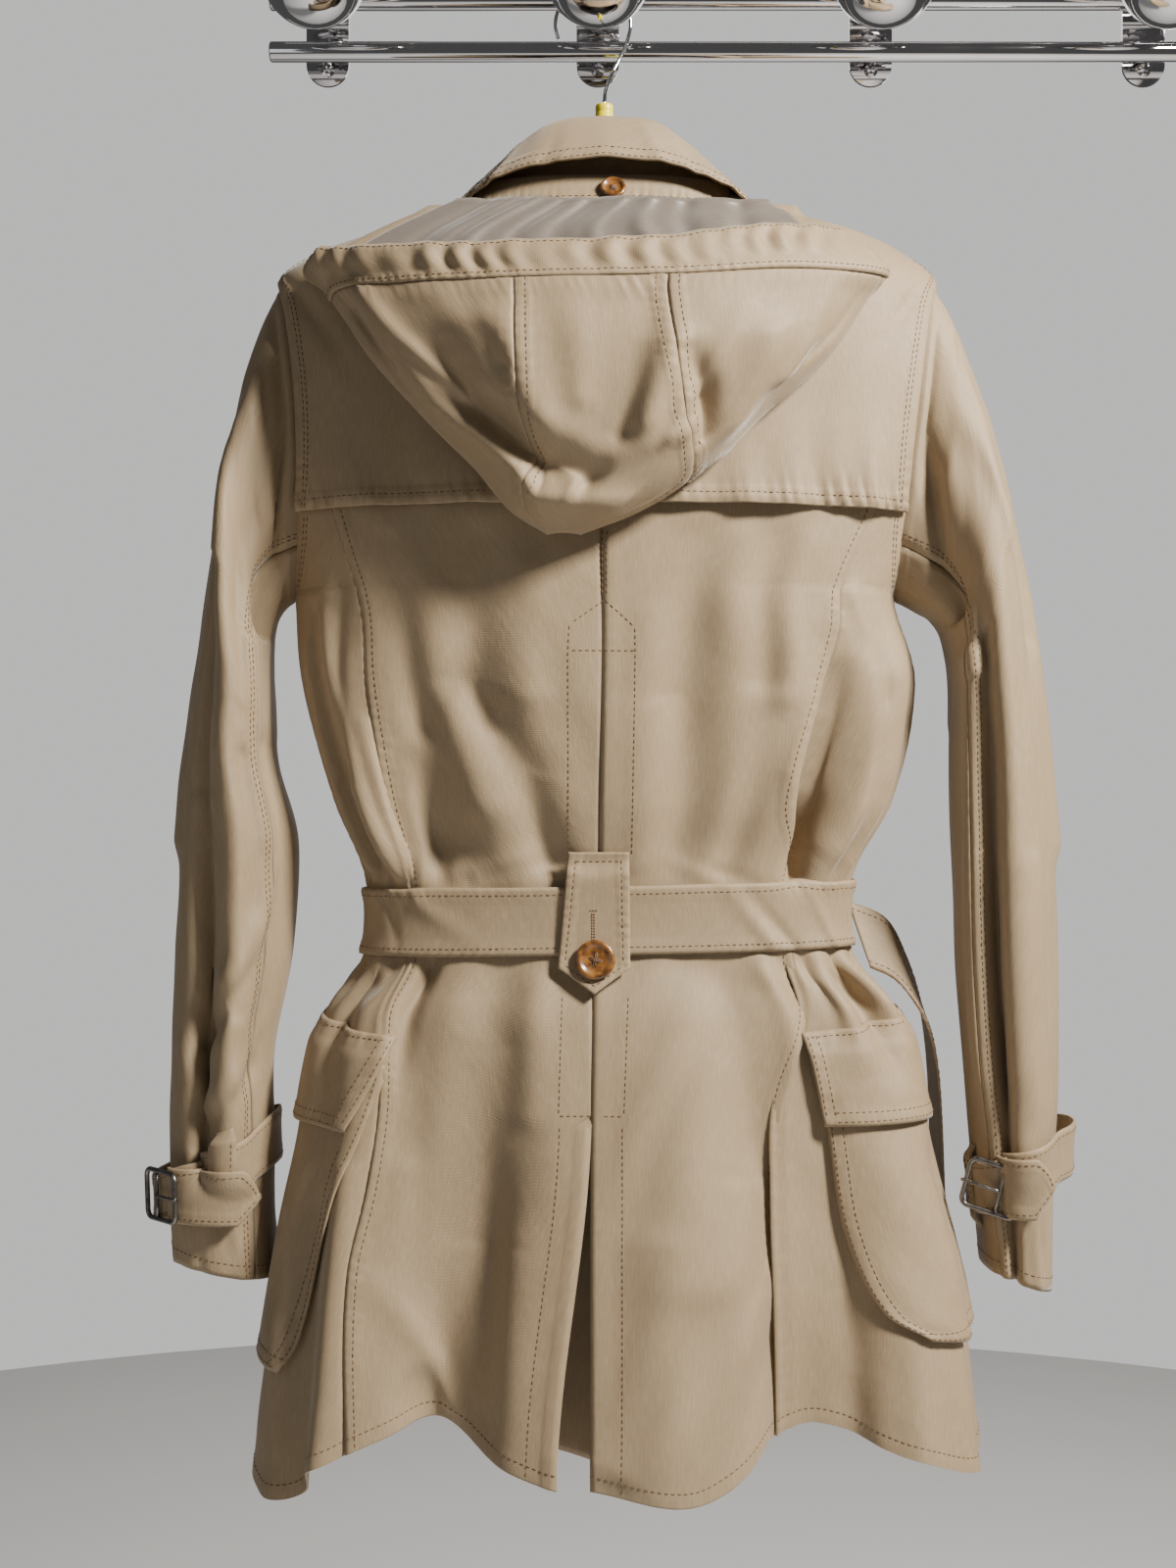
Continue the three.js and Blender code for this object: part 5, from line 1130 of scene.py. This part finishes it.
for name, begin, end, count, sewn, flat, area in (
        ("hood_left", -0.5, "left", 100, ["right"], (0.17, 0.2), 0.02),
        ("hood_centre", "left", "right", 70, ["left", "right"], (0.13, 0.18), 0.017),
        ("hood_right", "right", 0.5, 100, ["left"], (0.18, 0.2), 0.02)):
    shape, fold = hood_piece(begin, end)
    made = cloth(
        name, shape, np.linspace(0, 1, count), levels(band_z, 2, -317 if name == "hood_right" else -350), fold=fold,
        sewn=[(edge, {**SEAM, "reach": 11}) for edge in sewn] + [("top", {**SEAM, "reach": 12, "ridge": 0})],
        uneven=0.5, still=hood_still, seed=81 + count + len(sewn))
for name, edge in (("hood_centre", "left"), ("hood_right", "left"), ("hood_centre", "right")):
    sew(name, edge, 7, 0, 0.88)


def band_rise(u, r):
    return 0.8 + 0.9 * np.sin(u * 92) * np.cos(u * 31) * (r - band_z) / HOOD_BAND


def band_gathers(u, r, across, down):
    slant = across + 0.5 * down
    wave = np.sin(slant / 3.1 + 1.3 * np.sin(across / 23)) * (0.6 + 0.4 * np.sin(across / 17 + 1))
    return 1.9 * wave * np.sin(np.clip(down / HOOD_BAND, 0, 1) * math.pi) ** 0.7


band = cloth(
    "hood_band", hood_surface, np.linspace(-0.4995, 0.4995, 380), np.linspace(HOOD_TOP, band_z, 17),
    rise=band_rise, fold=band_gathers, uneven=0.2, seed=91,
    sewn=[("top", {**SEAM, "size": 0.5, "pitch": 7, "reach": 5, "row": 3, "ridge": 0.3}),
          ("bottom", {**SEAM, "size": 0.6, "pitch": 7, "reach": 6, "row": 4, "ridge": 0.5})])
sew("hood_band", "bottom", 4)
sew("hood_band", "top", 3)

satin = Finish("satin", Sheen_Weight=0.3, Specular_IOR_Level=0.6)
strand = satin.noise(satin.node("Mapping", {}, {"Vector": satin.place("UV"), "Scale": (160, 2200, 1)}), 1, 2)
satin.feed("Base Color", satin.blend(strand, (0.10, 0.08, 0.064, 1), (0.20, 0.168, 0.138, 1)))
satin.feed("Roughness", strand * 0.12 + 0.3)
satin.bump(strand, 0.00012, 0.5)


def under_surface(s, r):
    left, right, side, front = (column(HOOD, name, r) for name in ("left", "right", "side", "front"))
    ends = [hood_level(0 * s + end, r) for end in (0.5, -0.5)]
    edge = r + (mix(ends[0], ends[1], s + 0.5) - r) * ease(-131, -165, r)
    y = side + 1 + (front - side) * (1 - 4 * s * s)
    return np.stack([mix(right, left, s + 0.5), y, edge], -1)


under = cloth(
    "hood_under", under_surface, np.linspace(-0.5, 0.5, 50), levels(-127.5, 6, -346), uneven=0.2, seed=93)
LINING_CREASES = table(CREASE, [
    (-0.34, -130, -0.3, -190, 9, 2.0, 4.0), (0.2, -130, 0.21, -190, 7, -2.0, -4.0),
    (-0.1, -130, -0.14, -190, 7, -2.2, -4.0), (-0.2, -130, -0.22, -200, 8, 2.0, 4.0),
    (0.33, -130, 0.3, -200, 9, 2.5, 4.0), (0.05, -130, 0.03, -200, 9, 2.5, 3.0),
    (0.26, -130, 0.25, -200, 6, -1.5, -3),
    (0.12, -130, 0.12, -200, 7, 2.0, 3.5), (-0.03, -130, -0.03, -200, 6, -1.5, -3.0),
])
lining = cloth(
    "hood_lining", under_surface, np.linspace(-0.42, 0.42, 100), levels(-127.5, 3.5, -315),
    rise=-7, thick=0.8, uneven=0.25, seed=95, finish=satin, slot="lining",
    fold=lambda s, r, across, down: creases(LINING_CREASES, s, r, 380))

# ---------------------------------------------------------------- collar
# A stand and a fold-over collar of gabardine go round the neckline. The collar's edge and its roll line
# are top-sewn, and a strip sewn under it buttons the hood on.

COLLAR = table("v left right back side front rise fall", [
    (0, -84, 88, -86, -53, -27, 0, 0), (0.3, -85, 90, -84, -52, -24, 0.62, 0),
    (0.46, -86, 92, -84, -52, -22, 0.94, 0), (0.53, -88, 96, -87, -52, -19, 1, 0),
    (0.6, -92, 100, -92, -52, -16, 0.98, 0.08), (0.8, -98, 107, -104, -54, -12, 1, 0.53),
    (1, -104, 113, -113, -57, -9, 1, 1),
])
COLLAR_HEIGHTS = table("u fold edge", [
    (0, -65, -100), (0.1, -68, -103), (0.17, -79, -107), (0.24, -92, -114), (0.32, -102, -121),
    (0.4, -108, -127), (0.5, -110, -130), (0.7, -112, -140), (0.85, -132, -168), (1, -144, -182),
])
COLLAR_CREASES = table(CREASE, [
    (0.06, 0.6, 0.09, 0.98, 5, 0.3, 1.4), (0.15, 0.62, 0.17, 0.98, 5, -0.4, -1.6),
    (0.21, 0.6, 0.26, 0.98, 6, 0.5, 1.6), (-0.08, 0.62, -0.1, 0.98, 5, -0.3, -1.3),
    (-0.19, 0.6, -0.22, 0.98, 6, 0.5, 1.6), (-0.3, 0.6, -0.31, 0.98, 6, -0.5, -1.4),
    (0.34, 0.6, 0.36, 0.98, 6, -0.5, -1.4), (0.0, 0.6, 0.0, 0.98, 7, 0.2, 0.8),
])
STAND_TOP, NECK_CENTRE = 0.36, 4


def collar_surface(u, v):
    def at(name):
        return column(COLLAR, name, v)
    fold, edge = (column(COLLAR_HEIGHTS, name, np.abs(u)) for name in ("fold", "edge"))
    neck = level(u, NECK_Z + 0 * u) + 1.9
    z = neck + (fold - neck) * at("rise") + (edge - fold) * at("fall")
    angle = u * math.pi
    half = np.abs(np.where(u < 0, at("left"), at("right")) - NECK_CENTRE)
    depth = np.where(np.cos(angle) > 0, at("back") - at("side"), at("side") - at("front"))
    x = NECK_CENTRE + half * power(np.sin(angle), SQUARENESS)
    return np.stack([x, at("side") + depth * power(np.cos(angle), SQUARENESS), z], -1)


around_neck = np.linspace(-0.985, 0.985, 260)
stand = cloth(
    "collar_stand", collar_surface, around_neck, np.linspace(0, STAND_TOP, 5), uneven=0.1, turned=True, seed=101,
    thick=1.5)
collar_levels = np.concatenate([np.linspace(STAND_TOP + 0.02, 0.6, 12), np.linspace(0.61, 1, 22)])
collar = cloth(
    "collar", collar_surface, around_neck, collar_levels, uneven=0.25, seed=103, thick=1.5,
    fold=lambda u, v, across, down: creases(COLLAR_CREASES, u, v, 330, 45),
    sewn=[("bottom", {**SEAM, "size": 1.1, "pitch": 8, "reach": 11, "row": 8, "ridge": 0.7})])
sew("collar", "bottom", 2)
sew("collar", "bottom", 8)

STRIP = table("v left right back side z", [(0, -90, 96, -98.5, -55, -107), (1, -98, 101, -107.5, -59, -127)])


def strip_surface(u, v):
    angle = u * math.pi
    half = np.abs(np.where(u < 0, column(STRIP, "left", v), column(STRIP, "right", v)) - NECK_CENTRE)
    side = column(STRIP, "side", v)
    x = NECK_CENTRE + half * power(np.sin(angle), SQUARENESS)
    y = side + (column(STRIP, "back", v) - side) * power(np.cos(angle), SQUARENESS)
    return np.stack([x, y, column(STRIP, "z", v)], -1)


strip = cloth(
    "hood_strip", strip_surface, np.linspace(-0.34, 0.34, 190), np.linspace(0, 1, 16), uneven=0.3, seed=105,
    sewn=[("bottom", {**SEAM, "size": 0.8, "pitch": 7, "reach": 9, "row": 4}), ("left", SOFT_EDGE)])
sew("hood_strip", "bottom", 4)

# ---------------------------------------------------------------- cuff straps
# A strap goes round each sleeve near its end, through a loop, and is pulled tight by a buckle of dark
# wire with a prong. Its pointed end lies back along it.

CUFFS = {
    "left": dict(middle=0.905, width=0.047, tilt=0.035, reach=7, stand=0.05, loop=0.285, buckle=0.13, lift=1.5,
                 roll=-20, tip=(0.15, 0.36), droop=0.8),
    "right": dict(middle=0.905, width=0.047, tilt=-0.02, reach=11, stand=0.95, loop=0.46, buckle=0.36, lift=1,
                  roll=-35, tip=(0.34, 0.2), droop=0.3),
}
nickel = Finish("dark_nickel", Metallic=1.0)
rubbed = nickel.noise(nickel.place(), 260, 3)
nickel.feed("Base Color", nickel.blend(rubbed, (0.13, 0.12, 0.115, 1), (0.34, 0.32, 0.30, 1)))
nickel.feed("Roughness", rubbed * 0.25 + 0.2)


def wire(shape, path, radius, sides=10, closed=True):
    """A round wire along a path: a circle at each point, bridged to the next."""
    hoops = []
    for k, point in enumerate(path):
        before = path[k - 1] if k or closed else point
        after = path[(k + 1) % len(path)] if k + 1 < len(path) or closed else point
        aim = (Vector(after) - Vector(before)).to_track_quat("Z", "Y").to_matrix().to_4x4()
        aim.translation = point
        hoops.append(bmesh.ops.create_circle(shape, segments=sides, radius=radius, matrix=aim)["verts"])
    pairs = list(zip(hoops, hoops[1:])) + ([(hoops[-1], hoops[0])] if closed else [])
    for one, other in pairs:
        edges = {e for ring in (one, other) for v in ring for e in v.link_edges
                 if all(w in ring for w in e.verts)}
        bmesh.ops.bridge_loops(shape, edges=list(edges))
    if not closed:
        for ring in (hoops[0], hoops[-1]):
            bmesh.ops.contextual_create(shape, geom=ring)
    return shape


def rounded_path(width, height, corner, count=6):
    """Points round a rectangle with round corners, in the plane of a buckle."""
    path = []
    for sx, sy, begin in ((1, 1, 0), (-1, 1, 90), (-1, -1, 180), (1, -1, 270)):
        for k in range(count + 1):
            angle = math.radians(begin + 90 * k / count)
            path.append(Vector((sx * (width / 2 - corner) + corner * math.cos(angle),
                                sy * (height / 2 - corner) + corner * math.sin(angle), 0)))
    return path


def in_metres(shape, smooth=lambda face: True):
    bmesh.ops.scale(shape, vec=(MM, MM, MM), verts=shape.verts)
    for face in shape.faces:
        face.smooth = smooth(face)
    bmesh.ops.recalc_face_normals(shape, faces=shape.faces)


def lies_on(shape, surface, u, v, height, reach, turned=False, roll=0):
    """Puts a flat shape, drawn with its back at z = 0, onto a surface."""
    drop = -reach[1] if v < -1 else reach[1]
    grid = [np.array([[float(a)]]) for a in (u - reach[0], u + reach[0], u, u)]
    rows = [np.array([[float(b)]]) for b in (v, v, v - drop, v + drop)]
    ends = [surface(a, b)[0, 0] for a, b in zip(grid, rows)]
    middle = Vector(surface(np.array([[float(u)]]), np.array([[float(v)]]))[0, 0])
    along, down = Vector(ends[1] - ends[0]).normalized(), Vector(ends[3] - ends[2]).normalized()
    out = down.cross(along).normalized()
    if turned:
        out.negate()
    up = out.cross(along)
    turn = Matrix((along, up, out)).transposed().to_4x4() @ Matrix.Rotation(math.radians(roll), 4, "Z")
    turn.translation = middle + out * height
    bmesh.ops.transform(shape, matrix=turn, verts=shape.verts)
    in_metres(shape)


for side, cuff in CUFFS.items():
    turned = side == "right"

    def strap_surface(a, v, side=side, cuff=cuff):
        return sleeve(side)(a, cuff["middle"] + cuff["tilt"] * np.cos(2 * math.pi * a) + cuff["width"] * (v - 0.5))

    def stand_off(a, cuff=cuff):
        from_stand = (a - cuff["stand"] + 1.5) % 1 - 0.5
        return LAYER * 1.7 + 2.5 * bump_at(a, 0.28, 0.1) + cuff["reach"] * bump_at(from_stand, 0, 0.14)
    strap = cloth(
        f"cuff_strap_{side}", strap_surface, np.linspace(0, 1, 130), np.linspace(0, 1, 15), thick=1.5,
        rise=lambda a, v: stand_off(a) + 0 * v, ring=True, turned=turned, uneven=0.2, seed=110 + HANDS[side],
        sewn=[(edge, {**BELT_EDGE, "size": 0.5}) for edge in ("top", "bottom")])
    for edge in ("top", "bottom"):
        sew(f"cuff_strap_{side}", edge, 4)
    begin, end = cuff["loop"] - 0.017, cuff["loop"] + 0.017

    def loop_surface(s, v):
        return strap_surface(mix(begin, end, s), v)

    def loop_rise(s, v):
        over = ease(-0.32, -0.08, v) * (1 - ease(1.08, 1.32, v))
        return stand_off(cuff["loop"]) * over + 0.4 + CLOTH
    loop = cloth(
        f"cuff_loop_{side}", loop_surface, np.linspace(0, 1, 12), np.linspace(-0.32, 1.32, 60), rise=loop_rise,
        turned=turned, uneven=0.1, seed=115, sewn=[("left", SOFT_EDGE), ("right", SOFT_EDGE)])
    for edge in ("left", "right"):
        sew(f"cuff_loop_{side}", edge, 2, 0.16, 0.84)

    def tip_surface(s, v, cuff=cuff):
        narrow = 1.12 * (1 - 0.93 * np.clip((s - 0.74) / 0.26, 0, 1))
        return strap_surface(mix(*cuff["tip"], s), 0.5 + cuff["droop"] * s + (v - 0.5) * narrow)
    tip = cloth(
        f"cuff_tip_{side}", tip_surface, np.linspace(0, 1, 40), np.linspace(0, 1, 24), thick=1.8,
        node=f"cuff_strap_{side}", rise=lambda s, v: stand_off(mix(*cuff["tip"], s)) + 2.6 + 3 * s, uneven=0.3,
        seed=118 + HANDS[side], sewn=[(edge, {**BELT_EDGE, "size": 0.5}) for edge in ("top", "bottom")])
    for edge in ("top", "bottom"):
        sew(f"cuff_tip_{side}", edge, 3.5)

    buckle = bmesh.new()
    wire(buckle, [p + Vector((0, 0, 1.5)) for p in rounded_path(36, 32, 5)], 1.7)
    wire(buckle, [Vector((-5, y, 1.6)) for y in np.linspace(-15.5, 15.5, 5)], 1.2, closed=False)
    prong = [Vector((x, 0.4 * math.sin(x), 2.6 + 1.6 * math.sin((x + 5) / 26 * math.pi)))
             for x in np.linspace(-5, 21, 12)]
    wire(buckle, prong, 1.15, 8, closed=False)
    lift = float(stand_off(cuff["buckle"])) + CLOTH / 2 + cuff["lift"]
    lies_on(buckle, strap_surface, cuff["buckle"], 0.5, lift, (0.05, 0.6), turned, cuff["roll"])
    finished(f"buckle_{side}", buckle, nickel, "buckle", f"cuff_buckle_{side}")

# ---------------------------------------------------------------- buttons
# Horn buttons with a raised rim and four holes, polished and marbled, are sewn on with crossed thread.

horn = Finish("horn", Coat_Weight=0.5, Coat_Roughness=0.12, Roughness=0.28)
swirl = horn.noise(horn.place(), 130, 4, 0.6)
veins = horn.noise(horn.place(), 420, 3, 0.7)
brown = horn.blend(horn.ramp(swirl, 0.35, 0.68), (0.045, 0.016, 0.005, 1), (0.25, 0.105, 0.025, 1))
horn.feed("Base Color", horn.blend(horn.ramp(veins, 0.5, 0.75) * 0.5, brown, (0.05, 0.02, 0.008, 1)))


def lathed(outline, axis, steps):
    """A closed shape turned from its outline."""
    shape = bmesh.new()
    spots = [shape.verts.new(point) for point in outline]
    edges = [shape.edges.new(pair) for pair in zip(spots, spots[1:])]
    bmesh.ops.spin(
        shape, geom=spots + edges, axis=axis, cent=(0, 0, 0), angle=2 * math.pi, steps=steps, use_merge=True)
    bmesh.ops.remove_doubles(shape, verts=shape.verts, dist=0.02)
    return shape


def button(name, diameter, thickness, surface, u, v, height, node):
    radius = diameter / 2
    outline = [(0.0001, 0), (0.8, 0), (0.93, 0.12), (1, 0.45), (0.985, 0.75), (0.92, 0.95), (0.84, 1), (0.74, 0.93),
               (0.66, 0.72), (0.6, 0.62), (0.35, 0.57), (0.0001, 0.56)]
    disc = lathed([(x * radius, 0, z * thickness) for x, z in outline], (0, 0, 1), 40)
    lies_on(disc, surface, u, v, height, (1e-3, 1e-3))
    finished(name, disc, horn, "horn", node)
    tie = bmesh.new()
    top = thickness * 0.58
    for turn in (45, 135):
        for shift in (-0.55, 0.55):
            arc = []
            for k in range(7):
                x, y = (k / 6 - 0.5) * radius * 0.62, shift
                c, s = math.cos(math.radians(turn)), math.sin(math.radians(turn))
                arc.append(Vector((x * c - y * s, x * s + y * c, top - 0.3 + 0.9 * math.cos((k / 6 - 0.5) * math.pi))))
            wire(tie, arc, 0.42, 6, closed=False)
    for x in (-1, 1):
        for y in (-1, 1):
            hole = Vector((x, y, 0)) * radius * 0.22 + Vector((0, 0, top - 0.25))
            bmesh.ops.create_cone(tie, cap_ends=True, segments=10, radius1=0.9, radius2=0.7, depth=0.5,
                                  matrix=Matrix.Translation(hole))
    lies_on(tie, surface, u, v, height, (1e-3, 1e-3))
    finished(name + "_thread", tie, thread, "shell")


tab_top = TAB_RISE + CLOTH / 2 + 0.3
button("tab_button", 26, 4, tab_surface, 0.001, 0.76, tab_top + 1.8, "belt_tab_button")
button("strip_button", 17, 3.5, strip_surface, 0.012, 0.6, CLOTH / 2 + 0.6, "hood_strip_button")
for count, r in enumerate([-236, -351, -450, -670, -781]):
    button(f"front_button_{count + 1}_horn", 26, 4, lambda u, v: body(u + 1, v), 0, r,
           LAYER * 1.4 + CLOTH / 2 + 1, f"front_button_{count + 1}")

# ---------------------------------------------------------------- hanger
# A wire hanger in a thick black plastic sleeve, with a bright hook and a yellow ferrule at its neck.

black = Finish("black_plastic", Roughness=0.42)
grain = black.noise(black.place(), 500, 3)
black.feed("Base Color", black.blend(grain, (0.012, 0.012, 0.013, 1), (0.03, 0.03, 0.032, 1)))
black.bump(grain, 0.0001, 0.4)
yellow = Finish("yellow_plastic", Roughness=0.3, Coat_Weight=0.2)
shade = yellow.noise(yellow.place(), 60, 2)
yellow.feed("Base Color", yellow.blend(shade, (0.78, 0.62, 0.0, 1), (0.88, 0.76, 0.03, 1)))
chrome = Finish("chrome", Metallic=1.0)
smear = chrome.noise(chrome.place(), 35, 3)
chrome.feed("Base Color", chrome.blend(smear, (0.70, 0.69, 0.70, 1), (0.82, 0.81, 0.82, 1)))
chrome.feed("Roughness", smear * 0.06 + 0.03)


def through(points, count):
    """Evenly many points on a smooth curve through the given ones."""
    points = np.array(points, float)
    run = np.concatenate([[0], np.cumsum(np.linalg.norm(np.diff(points, axis=0), axis=1) ** 0.5)])
    rows = {"run": run, "x": points[:, 0], "y": points[:, 1], "z": points[:, 2]}
    at = np.linspace(0, run[-1], count)
    return [Vector(p) for p in np.stack([column(rows, axis, at) for axis in "xyz"], -1)]


def rod(name, path, radius, sides, finish, slot, node):
    shape = wire(bmesh.new(), path, radius, sides, closed=False)
    in_metres(shape, lambda face: len(face.verts) == 4)
    return finished(name, shape, finish, slot, node)


HANGER_RADIUS = 5.5


def arm(u, r):
    x, y, z = body(np.array([[u]]), np.array([[float(r)]]))[0, 0]
    return (x - math.copysign(4.2, x), y, z - (HANGER_RADIUS + 0.65) - 2.2)


hanger_points = [arm(-0.5, r) for r in (-168, -150, -128, -108)]
hanger_points += [(-40, -50, -88), (4, -47, -80), (45, -50, -88)]
hanger_points += [arm(0.5, r) for r in (-108, -128, -150, -168)]
rod("hanger_arms", through(hanger_points, 70), HANGER_RADIUS, 16, black, "hanger", "hanger_body")
HOOK_X, HOOK_Z, HOOK_RADIUS, HOOK_Y = -3.4, 17.9, 26, -31.5
bend = [math.pi - (-1.15 + (math.pi + 1.45) * k / 18) for k in range(3, 19)]
hook_points = [(HOOK_X + HOOK_RADIUS * math.cos(a), HOOK_Y, HOOK_Z + HOOK_RADIUS * math.sin(a)) for a in bend]
hook_points += [(18, -32, 0), (11, -35, -15), (5.5, -41, -30), (4.2, -44, -42.5)]
rod("hanger_hook_wire", through(hook_points, 90), 1.3, 12, chrome, "chrome", "hanger_hook")

profile = [(0.01, -74), (5.4, -74), (6, -73.2), (6, -69), (5.7, -68.4), (6, -67.8), (6, -49), (5.7, -48.4),
           (6, -47.8), (6, -44), (5.4, -43), (2.2, -43), (2.0, -44), (0.01, -44)]
ferrule = lathed([(x, 0, z) for x, z in profile], (0, 0, 1), 32)
bmesh.ops.translate(ferrule, vec=(4.2, -46, 0), verts=ferrule.verts)
in_metres(ferrule)
finished("ferrule", ferrule, yellow, "ferrule", "hanger_ferrule")

# ---------------------------------------------------------------- wall rack
# Two chrome tubes run along four back plates, each screwed to the wall and carrying a hollow chrome
# ball on a short stud. The plates keep their solids.

RAIL_LEFT, RAIL_LENGTH, RAIL_Y, RAIL_RADIUS = -229, 653, -20, 7
for name, z in (("upper", 39), ("lower", 3)):
    profile = [(0.01, 0), (RAIL_RADIUS - 1.2, 0), (RAIL_RADIUS - 0.4, 0.4), (RAIL_RADIUS, 1.2),
               (RAIL_RADIUS, RAIL_LENGTH - 1.2), (RAIL_RADIUS - 0.4, RAIL_LENGTH - 0.4),
               (RAIL_RADIUS - 1.2, RAIL_LENGTH), (0.01, RAIL_LENGTH)]
    rail = lathed([(run, 0, x) for x, run in profile], (1, 0, 0), 48)
    bmesh.ops.translate(rail, vec=(RAIL_LEFT, RAIL_Y, z), verts=rail.verts)
    in_metres(rail)
    finished(f"rail_{name}", rail, chrome, "chrome", f"rack_rail_{name}")

PEG_RADIUS, PEG_Y, PEG_Z = 36, -72, 37
for count, x in enumerate((-191, 0, 193, 386)):
    peg = bmesh.new()
    bmesh.ops.create_uvsphere(peg, u_segments=48, v_segments=28, radius=PEG_RADIUS)
    bmesh.ops.rotate(peg, verts=peg.verts, cent=(0, 0, 0), matrix=Matrix.Rotation(math.pi / 2, 3, "X"))
    bmesh.ops.translate(peg, vec=(x, PEG_Y, PEG_Z), verts=peg.verts)
    stud = [(x, y, PEG_Z + 1) for y in (-27.3, -30, -35, -41)]
    wire(peg, [Vector(p) for p in stud], 4, 24, closed=False)
    in_metres(peg)
    finished(f"peg_{count + 1}", peg, chrome, "chrome", f"rack_peg_{count + 1}")
    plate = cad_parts[f"rack_bracket_{count + 1}"]
    plate.data.materials.clear()
    plate.data.materials.append(chrome.material)

# ---------------------------------------------------------------- the thread
sew_all()
